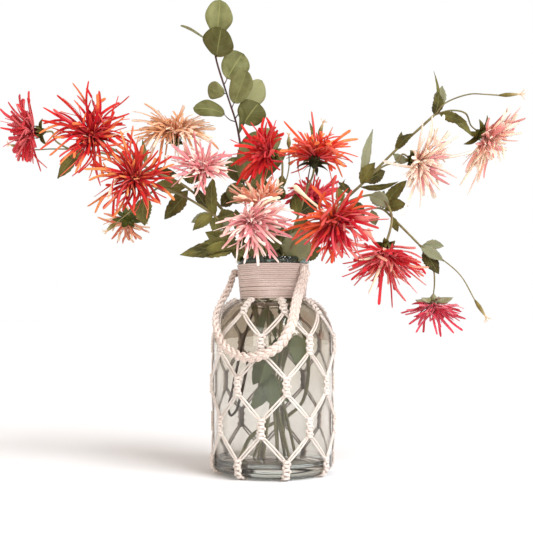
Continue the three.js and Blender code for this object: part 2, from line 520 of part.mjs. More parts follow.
// Stems: each run is a radius, a list of places and what stands at its end. A leaf is its kind, where its root
// is seen from the front [x, z], its tip [x, z], how far behind its root the tip lies, its width and its roll.
const STEMS = {
  stem_left_far: {
    runs: [
      [2, [[36, 36, FLOOR], [12, 22, 115], [-18, 8, 205], [-34, 0, 262], [-42, -1, 318], [-62, 0, 348], [-93, 4, 392],
        [-133, 6, 430], [-185, 6, 455], [-209, 2, 467], [-238, -20, 481]], 'bloom_02'],
      [1.5, [[-209, 2, 467], [-257, 4, 479], [-305, 4, 485], [-326, -3, 497]], 'bloom_01'],
      [1, [[-305, 4, 485], [-337, 14, 487], [-362, 20, 487], [-382, 20, 490]], 'bud', [-398, 20, 494]],
    ],
    leaves: [
      ['small', [-290, 480], [-326, 444], 10, 14, 20], ['leaf', [-280, 482], [-306, 470], -14, 15, -30],
      ['small', [-192, 460], [-198, 501], 8, 9, 35],
      ['small', [-196, 460], [-214, 482], 16, 14, -25], ['leaf', [-182, 456], [-146, 450], 12, 16, 30],
      ['small', [-184, 456], [-203, 439], 12, 14, 10], ['leaf', [-130, 428], [-182, 433], 16, 20, -20],
      ['leaf', [-128, 423], [-165, 381], 14, 24, 15], ['leaf', [-94, 392], [-118, 431], -2, 15, 10],
      ['small', [-92, 390], [-124, 376], 12, 14, -20],
    ],
  },
  stem_left_near: {
    runs: [
      [2, [[25, 20, FLOOR], [2, 7, 115], [-20, -7, 205], [-30, -14, 262], [-36, -18, 318], [-55, -22, 346],
        [-87, -26, 382], [-112, -28, 399], [-137, -34, 412], [-166, -50, 420]], 'bloom_03'],
      [1.3, [[-166, -50, 420], [-186, -36, 408], [-202, -26, 394]], 'bloom_06'],
      [1, [[-194, -31, 401], [-214, -38, 382], [-229, -42, 369]], 'bud', [-241, -44, 359]],
    ],
    leaves: [
      ['leaf', [-186, 410], [-188, 368], 4, 24, 20], ['leaf', [-84, 380], [-86, 438], -12, 16, -25],
      ['leaf', [-80, 376], [-54, 384], -16, 20, 20], ['leaf', [-86, 380], [-84, 352], -12, 18, -20],
      ['small', [-78, 372], [-48, 366], -26, 7, 40], ['leaf', [-90, 384], [-117, 358], -14, 16, 15],
      ['leaf', [-52, 340], [-99, 356], -20, 24, -15], ['small', [-50, 338], [-135, 322], -30, 10, 30],
      ['leaf', [-46, 334], [-114, 333], -12, 17, 25],
    ],
  },
  stem_left_inner: {
    runs: [
      [1.8, [[19, 44, FLOOR], [-2, 30, 130], [-19, 18, 210], [-26, 10, 262], [-30, 14, 318], [-46, 18, 352],
        [-70, 18, 387], [-94, 8, 414], [-104, -8, 430]], 'bloom_05'],
      [1.5, [[-70, 18, 387], [-99, 30, 426], [-125, 42, 462], [-146, 52, 488]], 'bloom_04'],
    ],
    leaves: [['leaf', [-45, 352], [-58, 398], 22, 20, 20], ['leaf', [-112, 440], [-142, 453], 18, 16, -20]],
  },
  stem_centre_back: {
    runs: [
      [1.8, [[8, 51, FLOOR], [4, 38, 130], [-6, 24, 210], [-10, 16, 262], [-11, 14, 318], [-9, 9, 356], [-2, 4, 400],
        [12, 0, 434], [14, -8, 454]], 'bloom_07'],
      [1.2, [[-9, 9, 356], [-11, 0, 370]], 'bloom_09'],
      [1, [[5, 2, 417], [17, 10, 432], [24, 14, 457], [24, 14, 489]], 'bud', [24, 14, 505]],
    ],
    leaves: [['leaf', [16, 430], [8, 410], 14, 18, 20], ['small', [13, 446], [4, 428], 14, 12, -20]],
  },
  stem_front: {
    runs: [[1.8, [[7, 2, FLOOR], [-1, -12, 130], [-6, -26, 210], [-8, -33, 262], [-11, -39, 314], [-20, -58, 342],
      [-29, -82, 358]], 'bloom_08']],
    leaves: [],
  },
  stem_centre_right: {
    runs: [
      [1.8, [[18, 62, FLOOR], [16, 48, 130], [13, 35, 210], [12, 28, 262], [14, 30, 318], [25, 36, 354], [40, 38, 390],
        [51, 34, 424], [61, 24, 449]], 'bloom_10'],
      [1.3, [[25, 36, 354], [41, 56, 378], [55, 68, 395]], 'bloom_11'],
      [1, [[51, 34, 424], [58, 52, 464], [68, 62, 496], [72, 64, 516]], 'bud', [78, 64, 534]],
    ],
    leaves: [['small', [58, 468], [57, 543], 22, 8, 20], ['leaf', [39, 387], [34, 424], 10, 18, -20]],
  },
  stem_front_right: {
    runs: [[1.8, [[-15, 8, FLOOR], [0, -7, 130], [10, -20, 210], [14, -27, 262], [18, -34, 314], [36, -56, 346],
      [62, -84, 358]], 'bloom_12']],
    leaves: [['leaf', [22, 326], [52, 356], 26, 27, -15]],
  },
  stem_right_far: {
    runs: [
      [2, [[-50, 28, FLOOR], [-33, 52, 48], [25, 68, 78], [47, 62, 100], [56, 52, 145], [50, 38, 200], [32, 22, 255],
        [34, 20, 318], [57, 28, 355], [88, 24, 391], [123, 14, 423], [133, 12, 432], [184, 8, 483], [218, 6, 514],
        [247, 6, 540]], null],
      [1.3, [[245, 6, 538], [271, 12, 545], [293, 22, 543]], 'bloom_15'],
      [1.1, [[245, 6, 538], [255, 2, 551], [272, 0, 560], [297, 0, 567], [318, 2, 567], [340, 4, 566]],
        'bud', [368, 6, 568]],
      [1.4, [[150, 10, 449], [169, 8, 461], [186, 4, 466]], 'bloom_14'],
    ],
    leaves: [
      ['leaf', [243, 537], [243, 567], -10, 15, 15], ['small', [248, 545], [255, 580], 12, 12, -30],
      ['small', [244, 540], [243, 604], 4, 7, 40], ['small', [250, 540], [290, 524], -12, 14, 25],
      ['small', [262, 542], [300, 504], -4, 14, -15], ['small', [135, 434], [152, 519], 12, 14, 25],
      ['leaf', [134, 430], [153, 464], -14, 20, -20], ['leaf', [138, 436], [172, 456], 20, 20, 15],
      ['small', [132, 430], [189, 436], -10, 9, 35], ['small', [184, 483], [195, 514], 10, 12, 20],
      ['small', [186, 484], [210, 507], -12, 14, -25], ['small', [180, 480], [208, 470], 14, 12, 20],
      ['leaf', [106, 406], [96, 428], -10, 15, 15], ['small', [98, 400], [111, 444], 12, 8, -35],
      ['small', [117, 417], [100, 440], 16, 14, 30],
    ],
  },
  stem_right_arc: {
    runs: [[1.8, [[-30, 27, FLOOR], [8, 13.5, 130], [28, 2, 210], [33, -6, 262], [38, -8, 318], [66, -12, 353],
      [92, -12, 388], [112, -10, 404], [133, -10, 412], [149, -12, 414], [161, -20, 408], [170, -30, 393],
      [173, -40, 376], [169, -50, 358]], 'bloom_13']],
    leaves: [
      ['leaf', [144, 414], [172, 394], -18, 20, 20], ['leaf', [114, 405], [134, 376], -10, 16, -15],
      ['small', [172, 382], [184, 358], 14, 10, 20],
    ],
  },
  stem_right_low: {
    runs: [
      [1.8, [[-23, 11, FLOOR], [4, -1, 130], [20, -11, 210], [27, -19, 262], [36, -20, 318], [66, -24, 344],
        [99, -16, 376], [137, 0, 393], [164, 10, 396], [183, 12, 380], [204, 14, 360], [224, 16, 340]], null],
      [1.2, [[222, 16, 342], [237, 21, 324], [245, 22, 304], [246, 22, 280]], 'bloom_16'],
      [1, [[222, 16, 342], [257, 12, 319], [284, 12, 295], [305, 10, 258]], 'bud', [319, 8, 236]],
    ],
    leaves: [
      ['leaf', [165, 396], [204, 441], 14, 18, 20], ['leaf', [168, 393], [203, 399], -10, 20, -20],
      ['small', [162, 396], [170, 426], 16, 11, 30], ['small', [148, 394], [156, 372], 14, 14, 15],
      ['small', [224, 341], [262, 341], 14, 12, 25], ['leaf', [224, 340], [257, 316], -10, 15, -15],
      ['leaf', [228, 334], [250, 297], -12, 20, 10],
    ],
  },
  eucalyptus_branch: {
    runs: [[2, [[-36, 16, 180], [-41, 20, 149], [-50, 28, 110], [-58, 34, 87], [-66, 40, 81], [-70, 43.2, 92],
      [-64, 46, 118], [-50, 40, 179], [-36, 32, 228], [-26, 25, 262], [-28, 28, 318], [-38, 34, 373],
      [-44, 38, 428], [-48, 42, 480], [-52, 42, 510], [-57, 42, 534], [-72, 42, 580], [-88, 44, 633],
      [-90, 45, 652]], null]],
    leaves: [
      ['round', [-88, 668], [-81, 719], -14, 40, 15], ['round', [-83, 632], [-78, 673], -26, 49, -20],
      ['round', [-96, 655], [-144, 686], 24, 30, 75], ['round', [-66, 596], [-47, 645], 18, 43, 20],
      ['round', [-55, 556], [-40, 609], -20, 36, -15], ['round', [-40, 545], [-17, 604], 24, 26, 25],
      ['round', [-74, 577], [-101, 593], 18, 25, -25], ['round', [-36, 519], [-22, 564], 4, 44, 15],
      ['round', [-76, 528], [-122, 552], -14, 30, 20], ['round', [-55, 515], [-50, 553], -18, 14, 60],
      ['round', [-46, 466], [-16, 515], -12, 40, -20], ['round', [-45, 440], [-38, 500], -26, 26, 15],
      ['round', [-44, 424], [20, 494], 22, 24, -25], ['round', [-44, 446], [-68, 462], 14, 20, 20],
      ['round', [-43, 412], [-68, 432], -16, 32, -15], ['round', [-40, 386], [-4, 424], 16, 16, 20],
    ],
  },
};

// ---------------------------------------------------------------- blooms
function lookingAt(direction, spin) {
  const turn = new THREE.Quaternion().setFromUnitVectors(vec(0, 0, 1), direction);
  return turn.multiply(new THREE.Quaternion().setFromAxisAngle(vec(0, 0, 1), spin));
}

// The small faceted core of a head: each of its faces can grow one petal.
function headCore(name, bloom) {
  const draw = seeded(1000 + 37 * Number(name.slice(-2)));
  const small = SMALL_HEADS.includes(name);
  const centre = vec(...bloom.at);
  const axis = vec(...bloom.face).normalize();
  const ball = small ? new THREE.OctahedronGeometry(PETAL.smallCore, 1) : new THREE.IcosahedronGeometry(PETAL.core, 1);
  ball.deleteAttribute('normal');
  ball.deleteAttribute('uv');
  const shape = mergeVertices(ball, 1e-4).applyQuaternion(lookingAt(axis, 2 * Math.PI * draw()));
  const at = shape.getAttribute('position');
  const points = Array.from({ length: at.count }, (_, i) => vec(at.getX(i), at.getY(i), at.getZ(i)));
  const seat = Math.max(...points.map((p) => -p.dot(axis))) + CALYX.back;
  const faces = Array.from({ length: shape.index.count / 3 }, (_, i) =>
    [0, 1, 2].map((k) => shape.index.getX(3 * i + k)));
  return { centre, axis, points: points.map((p) => p.add(centre)), faces, seat, draw };
}

function petalCurve(start, outward, tip) {
  const reach = start.distanceTo(tip);
  return new THREE.QuadraticBezierCurve3(start, start.clone().addScaledVector(outward, reach * 0.45), tip);
}

// A flat three-sided section of a petal, its points in the same turning order as the face it grows from.
function petalRing(curve, t, width, axis, roots) {
  const middle = curve.getPoint(t);
  const heading = curve.getTangent(t);
  const side = axis.clone().cross(heading);
  if (side.length() < 0.2) side.set(heading.z, 0.3, -heading.x).cross(heading);
  side.normalize();
  const back = side.clone().cross(heading).normalize();
  const ring = [
    middle.clone().addScaledVector(side, width / 2),
    middle.clone().addScaledVector(side, -width / 2),
    middle.clone().addScaledVector(back, PETAL.thickness * (back.dot(axis) > 0 ? -1 : 1)),
  ];
  const normal = ring[1].clone().sub(ring[0]).cross(ring[2].clone().sub(ring[0]));
  if (normal.dot(heading) < 0) ring.reverse();
  const cost = (shift) => roots.reduce((sum, p, i) => sum + p.distanceTo(ring[(i + shift) % 3]), 0);
  const shift = [0, 1, 2].reduce((best, s) => (cost(s) < cost(best) ? s : best), 0);
  return roots.map((_, i) => ring[(i + shift) % 3]);
}

function tipPlace(bloom, axis, [clock, reach], index) {
  const flat = vec(Math.cos(rad(clock)), 0, Math.sin(rad(clock)));
  const depth = 0.8 * Math.sqrt(Math.max(0, bloom.reach ** 2 - reach ** 2));
  const way = Math.abs(axis.y) > 0.45 ? Math.sign(axis.y) : (index % 2 ? 1 : -1);
  const place = (share) => flat.clone().multiplyScalar(reach).add(vec(0, way * depth * share, 0));
  const choices = [1, 0.6, 0.3, 0, -0.3, -0.6].map(place);
  return choices.find((p) => p.clone().normalize().dot(axis) > -0.12) ?? choices[3];
}

function spiderBloom(name, bloom) {
  const core = headCore(name, bloom);
  const { centre, axis, draw } = core;
  const others = near(centre, bloom.reach * 1.35);
  const own = [];
  const points = core.points.slice();
  const faces = [];
  const middleOf = (face) => face.reduce((sum, k) => sum.add(core.points[k]), vec(0, 0, 0)).divideScalar(3);
  const spots = core.faces.map((face) => {
    const start = middleOf(face);
    return { face, start, outward: start.clone().sub(centre).normalize(), used: false };
  });

  // Grows a petal to the tip, or to a place near it that is clear; false if there is none.
  function grow(spot, tip, rings, width) {
    for (let attempt = 0; attempt < 30; attempt++) {
      const sway = vec(draw() - 0.5, draw() - 0.5, draw() - 0.5).multiplyScalar(0.05 * attempt);
      const reach = tip.length() * (1 - 0.012 * attempt);
      const end = tip.clone().normalize().add(sway).normalize().multiplyScalar(reach).add(centre);
      const curve = petalCurve(spot.start, spot.outward, end);
      const line = [0.06, 0.25, 0.5, 0.75, 1].map((t) => curve.getPoint(t));
      const inner = line.slice(1);
      const half = width * 0.56;
      if (!isClear(line, half, others, FIT) || !isClear(inner, half * 0.8, own, 0.3)) continue;
      const roots = spot.face.map((k) => core.points[k]);
      let previous = spot.face;
      let shape = roots;
      for (const [t, share] of rings) {
        shape = petalRing(curve, t, width * share, axis, shape);
        const first = points.length;
        points.push(...shape);
        for (let i = 0; i < 3; i++) {
          const j = (i + 1) % 3;
          faces.push([previous[i], previous[j], first + j], [previous[i], first + j, first + i]);
        }
        previous = [first, first + 1, first + 2];
      }
      points.push(end);
      previous.forEach((k, i) => faces.push([k, previous[(i + 1) % 3], points.length - 1]));
      for (let i = 0; i + 1 < inner.length; i++) own.push({ a: inner[i], b: inner[i + 1], radius: half * 0.8 });
      layRods(name, line, half);
      spot.used = true;
      return true;
    }
    return false;
  }

  bloom.tips.forEach((tip, index) => {
    const end = tipPlace(bloom, axis, tip, index);
    const heading = end.clone().normalize();
    const free = spots.filter((spot) => !spot.used && spot.outward.dot(axis) > -0.35);
    free.sort((p, q) => q.outward.dot(heading) - p.outward.dot(heading));
    const rings = tip[1] > 58 ? [[0.42, 0.72], [0.86, 1]] : [[0.7, 1]];
    if (free[0]) grow(free[0], end, rings, PETAL.width);
  });
  const rest = spots.filter((spot) => !spot.used && spot.outward.dot(axis) > -0.12);
  rest.map((spot) => [draw(), spot]).sort((p, q) => p[0] - q[0]).slice(0, bloom.fill).forEach(([, spot]) => {
    const lean = spot.outward.dot(axis);
    const share = (0.62 + 0.3 * Math.sqrt(1 - lean * lean)) * (0.72 + 0.26 * draw());
    grow(spot, spot.outward.clone().multiplyScalar(bloom.reach * share), [[0.68, 0.95]], PETAL.width);
  });
  spots.filter((spot) => !spot.used).forEach((spot) => faces.push(spot.face));
  return closedMesh(points, faces);
}

// ---------------------------------------------------------------- stems with their leaves, buds and calyces
// The rings of corners of a bar that runs straight from each place to the next.
function barRings(points, radii, sides) {
  let side = vec(0, 1, 0);
  return points.map((p, i) => {
    const before = points[Math.max(0, i - 1)];
    const heading = (points[i + 1] ?? p).clone().sub(before).normalize();
    side = side.clone().addScaledVector(heading, -side.dot(heading)).normalize();
    return Array.from({ length: sides }, (_, k) =>
      p.clone().addScaledVector(side.clone().applyAxisAngle(heading, (2 * Math.PI * k) / sides), radii[i]));
  });
}

// A stem that widens into the star of sepals behind a head.
function stemWithCalyx(places, radius, name) {
  const core = headCore(name, BLOOMS[name]);
  const sides = SEPALS[name]?.count ?? CALYX.sepals;
  const reach = SEPALS[name]?.reach ?? SEPAL_REACH;
  const behind = (d) => core.centre.clone().addScaledVector(core.axis, -core.seat - d);
  const line = [...places, behind(CALYX.neck * 2.2), behind(CALYX.neck)];
  const rings = barRings(line, line.map(() => radius), sides);
  const faces = [...ringFaces(rings.length, sides), ...firstCap(sides)];
  const first = (rings.length - 1) * sides;
  const last = rings.at(-1);
  const out = (k) => last[k % sides].clone().add(last[(k + 1) % sides]).sub(line.at(-1)).sub(line.at(-1));
  const waist = last.map((p) => behind(1.4).addScaledVector(p.clone().sub(line.at(-1)).normalize(), CALYX.waist));
  const tips = last.map((_, k) => behind(reach * CALYX.droop).addScaledVector(out(k).normalize(), reach));
  const points = [...rings.flat(), ...waist, ...tips, behind(0)];
  for (let k = 0; k < sides; k++) {
    const next = (k + 1) % sides;
    const [low, waistHere, tip, top] = [first + k, first + sides + k, first + 2 * sides + k, points.length - 1];
    faces.push([low, first + next, tip], [low, tip, waistHere], [first + next, first + sides + next, tip]);
    faces.push([waistHere, tip, top], [tip, first + sides + next, top]);
  }
  const rays = tips.map((tip) => [along(behind(0), tip, 0.3), tip]);
  return { solid: solidOf(closedMesh(points, faces)), line, rays };
}

// A stem that swells into a spindle bud with stiff threads at its mouth.
function stemWithBud(places, radius, tip) {
  const foot = places.at(-1);
  const sides = 4;
  const line = [...places, along(foot, tip, 0.5), tip];
  const radii = [...places.map(() => radius), BUD.radius, BUD.mouth];
  const rings = barRings(line, radii, sides);
  const faces = [...ringFaces(rings.length, sides), ...firstCap(sides)];
  const first = (rings.length - 1) * sides;
  const axis = tip.clone().sub(foot);
  const points = [...rings.flat(), tip.clone().addScaledVector(axis, 0.08)];
  const middle = points.length - 1;
  for (let k = 0; k < sides; k++) {
    const [a, b] = [first + k, first + ((k + 1) % sides)];
    if (k >= BUD.threads) {
      faces.push([a, b, middle]);
      continue;
    }
    const out = points[a].clone().add(points[b]).multiplyScalar(0.5).sub(tip);
    points.push(tip.clone().addScaledVector(axis, 0.5).addScaledVector(out, 3.5));
    const end = points.length - 1;
    faces.push([a, b, end], [b, middle, end], [middle, a, end]);
  }
  return { solid: solidOf(closedMesh(points, faces)), line: [...line, tip.clone().addScaledVector(axis, 0.5)], rays: [] };
}

function plainStem(line, radius) {
  return { solid: solidOf(loft(barRings(line, line.map(() => radius), 4))), line, rays: [] };
}

function stemRun([radius, places, end, at]) {
  const points = places.map(([x, y, z]) => vec(x, y, z === FLOOR ? floorAt(x, y) + radius * 0.5 + FIT : z));
  if (BLOOMS[end]) return stemWithCalyx(points, radius, end);
  if (end === 'bud') return stemWithBud(points, radius, vec(...at));
  return plainStem(points, radius);
}

function leafyStem(name, { runs, leaves }) {
  const parts = [];
  const stemPoints = [];
  for (const run of runs) {
    const { solid, line, rays } = stemRun(run);
    parts.push(solid);
    layRods(name, line, run[0]);
    if (run[2] === 'bud') layRods(name, line.slice(-4), BUD.radius);
    rays.forEach((ray) => layRods(name, ray, 1.2));
    for (let i = 0; i + 1 < line.length; i++) {
      const count = Math.ceil(line[i].distanceTo(line[i + 1]) / 3);
      for (let k = 0; k < count; k++) stemPoints.push(along(line[i], line[i + 1], k / count));
    }
  }
  for (const [kind, root, tip, dy, width, roll] of leaves) {
    const [x, z] = root;
    const off = (p) => Math.hypot(p.x - x, p.z - z);
    const foot = stemPoints.reduce((best, p) => (off(p) < off(best) ? p : best));
    const leaf = { kind, root: foot, tip: vec(tip[0], foot.y + dy, tip[1]), width, roll, stalk: off(foot) };
    parts.push(solidOf(blade(leaf)));
    bladeRods(leaf).forEach((line) => layRods(name, line, width / 6 + 0.6));
  }
  return fused(parts);
}

// ---------------------------------------------------------------- assembly
const material = (color, roughness, extra = {}) => new THREE.MeshStandardMaterial({ color, roughness, ...extra });
const MATERIALS = {
  glass: material('#c9d6cf', 0.08, { transparent: true, opacity: 0.35 }),
  cotton: material('#e6d3c4', 0.95),
  leaf: material('#6a7038', 0.75),
  eucalyptus: material('#7f8455', 0.7),
  crimson: material('#b3101f', 0.6),
  red: material('#d02318', 0.6),
  peach: material('#eca586', 0.6),
  pink: material('#eaa3ad', 0.6),
  apricot: material('#d98a5c', 0.6),
};

const arrangement = new THREE.Group();

function place(name, solid, look) {
  const mesh = new THREE.Mesh(geometryOf(solid), MATERIALS[look]);
  mesh.name = name;
  arrangement.add(mesh);
}

place('jar_glass', glassJar(), 'glass');
place('cord_collar', cordCollar(), 'cotton');
place('macrame_net', macrameNet(), 'cotton');
place('carry_handle', carryHandle(), 'cotton');
layRods('carry_handle', handleRoute, HANDLE.radius);
for (let i = 0; i < 12; i++) {
  const rim = [i, i + 1].map((k) => vec(52 * Math.cos((k * Math.PI) / 6), 52 * Math.sin((k * Math.PI) / 6), 300));
  [0, 18].forEach((rise) => layRods('jar_glass', rim.map((p) => p.clone().setZ(p.z + rise)), 4));
}
for (const [name, stem] of Object.entries(STEMS)) {
  place(name, leafyStem(name, stem), name === 'eucalyptus_branch' ? 'eucalyptus' : 'leaf');
}
for (const [name, bloom] of Object.entries(BLOOMS)) {
  place(name, solidOf(spiderBloom(name, bloom)), bloom.tone);
}

export default arrangement;
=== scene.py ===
"""Spider dahlias and a eucalyptus branch in a glass jar that hangs in a knotted cotton net."""
from math import asin, ceil, copysign, cos, hypot, pi, radians, sin, sqrt

import bpy
import numpy as np
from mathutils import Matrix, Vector


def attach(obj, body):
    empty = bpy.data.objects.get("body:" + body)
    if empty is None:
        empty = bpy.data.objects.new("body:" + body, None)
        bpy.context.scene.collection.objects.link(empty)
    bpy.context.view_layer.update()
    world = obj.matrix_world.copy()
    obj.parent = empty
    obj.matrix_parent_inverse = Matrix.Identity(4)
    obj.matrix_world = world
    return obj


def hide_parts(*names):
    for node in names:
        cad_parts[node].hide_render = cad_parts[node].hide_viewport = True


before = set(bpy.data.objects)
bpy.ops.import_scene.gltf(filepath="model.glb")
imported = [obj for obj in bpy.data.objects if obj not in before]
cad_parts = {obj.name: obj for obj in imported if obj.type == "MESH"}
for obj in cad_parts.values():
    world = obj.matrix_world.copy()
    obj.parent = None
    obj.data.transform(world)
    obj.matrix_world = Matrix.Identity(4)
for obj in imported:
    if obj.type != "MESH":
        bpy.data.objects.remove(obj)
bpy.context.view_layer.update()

MM = 0.001
TURN = 2 * pi

# ---------------------------------------------------------------- camera
scene = bpy.context.scene
CAMERA = {"at": (-0.00975, -1.4, 0.231), "lens": 63.04, "shift": 0.0966, "sensor": 36}
camera_data = bpy.data.cameras.new("camera")
camera_data.lens = CAMERA["lens"]
camera_data.sensor_width = CAMERA["sensor"]
camera_data.shift_y = CAMERA["shift"]
camera_data.dof.use_dof = False
camera = bpy.data.objects.new("camera", camera_data)
camera.location = CAMERA["at"]
camera.rotation_euler = (pi / 2, 0, 0)
scene.collection.objects.link(camera)
scene.camera = camera
scene.view_settings.view_transform = "Standard"


# ---------------------------------------------------------------- mesh helpers (millimetres)
def unit(v):
    v = np.asarray(v, float)
    return v / np.maximum(np.linalg.norm(v, axis=-1, keepdims=True), 1e-9)


def rotate(v, axis, angle):
    """v turned about a unit axis."""
    v, axis = np.asarray(v, float), np.asarray(axis, float)
    return v * cos(angle) + np.cross(axis, v) * sin(angle) + axis * np.dot(axis, v) * (1 - cos(angle))


def bent(a, b, c, t):
    """Points on the curve from a to c that b draws toward itself."""
    return (1 - t) ** 2 * a + 2 * t * (1 - t) * b + t ** 2 * c


def distances(line):
    """How far along a line each of its points is."""
    return np.concatenate([[0], np.cumsum(np.linalg.norm(np.diff(line, axis=0), axis=1))])


def smooth(places, gap=3.0):
    """A centripetal curve through the places, with points about gap apart."""
    p = np.asarray(places, float)
    p = np.vstack([2 * p[0] - p[1], p, 2 * p[-1] - p[-2]])
    out = []
    for i in range(1, len(p) - 2):
        a, b, c, d = p[i - 1:i + 3]
        s, t, u = [max(np.linalg.norm(q - r), 1e-6) ** 0.5 for q, r in ((b, a), (c, b), (d, c))]
        first = ((b - a) / s - (c - a) / (s + t) + (c - b) / t) * t
        last = ((c - b) / t - (d - b) / (t + u) + (d - c) / u) * t
        count = max(2, int(ceil(np.linalg.norm(c - b) / gap)))
        w = np.arange(count)[:, None] / count
        out.append(b + first * w + (-3 * b + 3 * c - 2 * first - last) * w ** 2
                   + (2 * b - 2 * c + first + last) * w ** 3)
    return np.vstack([*out, p[-2:-1]])


def headings(line):
    return unit(np.gradient(line, axis=0))


def carried(line, side=(0, 1, 0.01)):
    """Headings of a line and two directions across it that turn with it as little as they can."""
    heads = headings(line)
    sides = np.empty_like(line)
    side = np.asarray(side, float)
    for i, head in enumerate(heads):
        side = side - head * np.dot(side, head)
        if np.linalg.norm(side) < 0.05:
            side = np.cross(head, (0.3, 0.2, 0.9))
        side = unit(side)
        sides[i] = side
    return heads, sides, np.cross(heads, sides)


def circle(a, b, sides):
    """Directions all round each point of a line, from a toward b."""
    turn = np.arange(sides) * TURN / sides
    return a[:, None] * np.cos(turn)[:, None] + b[:, None] * np.sin(turn)[:, None]


def painted(along, tone, below):
    """What "grow" says at each point: how far along it is, the tone, and 1 on an underside, or on cords how
    much painted shade it gets.
    """
    return np.stack(np.broadcast_arrays(along, tone, below, 1.0), -1)


def spiral(radius, turn, z):
    """Points about the jar's axis."""
    return np.stack(np.broadcast_arrays(radius * np.cos(turn), radius * np.sin(turn), z), -1)


class Shape:
    """Closed skins gathered into one mesh, with a "grow" attribute and a UV map."""

    def __init__(self):
        self.points, self.paint, self.loops, self.uvs, self.sizes, self.finish = [], [], [], [], [], []
        self.count = 0

    def skin(self, rings, u, v, paint, finish=0):
        """rings: m rings of n points. u: n + 1 values round a ring, v: m along, paint: what "grow" says."""
        rings = np.asarray(rings, float)
        m, n = rings.shape[:2]
        j, i = np.meshgrid(np.arange(m - 1), np.arange(n), indexing="ij")
        k = (i + 1) % n
        quads = np.stack([j * n + i, j * n + k, (j + 1) * n + k, (j + 1) * n + i], -1).reshape(-1, 4)
        u, v = np.asarray(u, float), np.asarray(v, float)
        corners = ((i, j), (i + 1, j), (i + 1, j + 1), (i, j + 1))
        uv = np.stack([np.stack([u[p], v[q]], -1) for p, q in corners], 2).reshape(-1, 4, 2)
        flat = rings.reshape(-1, 3)
        a, b, c, d = (flat[quads[:, q]] - flat[0] for q in range(4))
        volume = np.einsum("ij,ij->", a, np.cross(b, c)) + np.einsum("ij,ij->", a, np.cross(c, d))
        ends = [(np.arange(n)[::-1], u[:n][::-1], v[0]), (np.arange(n) + (m - 1) * n, u[:n], v[-1])]
        if volume < 0:
            quads, uv = quads[:, ::-1], uv[:, ::-1]
            ends = [(e[::-1], w[::-1], x) for e, w, x in ends]
        self.loops.append(quads.reshape(-1) + self.count)
        self.uvs.append(uv.reshape(-1, 2))
        self.sizes.append(np.full(len(quads), 4))
        for e, w, x in ends:
            self.loops.append(e + self.count)
            self.uvs.append(np.stack([w, np.full(len(w), x)], -1))
            self.sizes.append(np.array([n]))
        self.finish.append(np.full(len(quads) + len(ends), finish))
        self.points.append(flat)
        self.paint.append(np.broadcast_to(np.asarray(paint, float), (m, n, 4)).reshape(-1, 4))
        self.count += m * n

    def made(self, name, materials, slot, *nodes):
        """The mesh as one piece that rides on the body and stands for its CAD nodes."""
        mesh = bpy.data.meshes.new(name)
        points = np.vstack(self.points) * MM
        loops, sizes = np.concatenate(self.loops), np.concatenate(self.sizes)
        mesh.vertices.add(len(points))
        mesh.vertices.foreach_set("co", points.astype(np.float32).ravel())
        mesh.loops.add(len(loops))
        mesh.loops.foreach_set("vertex_index", loops.astype(np.int32))
        mesh.polygons.add(len(sizes))
        mesh.polygons.foreach_set("loop_start", (np.cumsum(sizes) - sizes).astype(np.int32))
        mesh.polygons.foreach_set("material_index", np.concatenate(self.finish).astype(np.int32))
        mesh.update(calc_edges=True)
        weave = mesh.uv_layers.new(name="weave")
        weave.data.foreach_set("uv", np.vstack(self.uvs).astype(np.float32).ravel())
        grow = mesh.color_attributes.new("grow", "FLOAT_COLOR", "POINT")
        grow.data.foreach_set("color", np.vstack(self.paint).astype(np.float32).ravel())
        mesh.validate()
        mesh.polygons.foreach_set("use_smooth", np.full(len(mesh.polygons), True))
        piece = bpy.data.objects.new(name, mesh)
        for material in materials:
            mesh.materials.append(material)
        scene.collection.objects.link(piece)
        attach(piece, "root")
        if nodes:
            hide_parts(*nodes)
        return piece


def bar(shape, line, radii, sides=8, finish=0, paint=(0, 0.5, 0, 1), side=(0, 1, 0.01)):
    """A round bar along a line. Its UV map runs round it and, in millimetres, along it."""
    line = np.asarray(line, float)
    radii = np.broadcast_to(np.asarray(radii, float), (len(line),))
    _, a, b = carried(line, side)
    rings = line[:, None] + radii[:, None, None] * circle(a, b, sides)
    shape.skin(rings, np.arange(sides + 1) / sides, distances(line), paint, finish)


# ---------------------------------------------------------------- clearance between pieces
class Rods:
    """Straight rods that stems, leaves and petals leave behind, which later petals keep clear of."""

    def __init__(self):
        self.a, self.b, self.r, self.stacked = [], [], [], None

    def lay(self, line, radius):
        line = np.asarray(line, float)
        self.a.append(line[:-1])
        self.b.append(line[1:])
        self.r.append(np.full(len(line) - 1, radius))
        self.stacked = None

    def near(self, centre, reach):
        """The rods that come within reach of the centre."""
        if not self.a:
            return np.empty((0, 3)), np.empty((0, 3)), np.empty(0)
        if self.stacked is None:
            self.stacked = np.vstack(self.a), np.vstack(self.b), np.concatenate(self.r)
        a, b, r = self.stacked
        keep = gaps(np.asarray([centre], float), a, b)[0] < reach + r
        return a[keep], b[keep], r[keep]


def gaps(points, a, b):
    """Distances from each point to each rod's middle line."""
    u = b - a
    w = points[:, None] - a[None]
    t = np.clip(np.einsum("ijk,jk->ij", w, u) / np.maximum(np.einsum("ij,ij->i", u, u), 1e-9), 0, 1)
    return np.linalg.norm(w - t[..., None] * u[None], axis=2)


def is_clear(points, radius, near, gap):
    a, b, r = near
    return len(a) == 0 or bool((gaps(points, a, b) > radius + r + gap).all())


rods = Rods()


# ---------------------------------------------------------------- materials
def hue(text):
    """A linear colour from its six digits."""
    parts = [int(text[i:i + 2], 16) / 255 for i in (0, 2, 4)]
    return (*[c / 12.92 if c <= 0.04045 else ((c + 0.055) / 1.055) ** 2.4 for c in parts], 1.0)


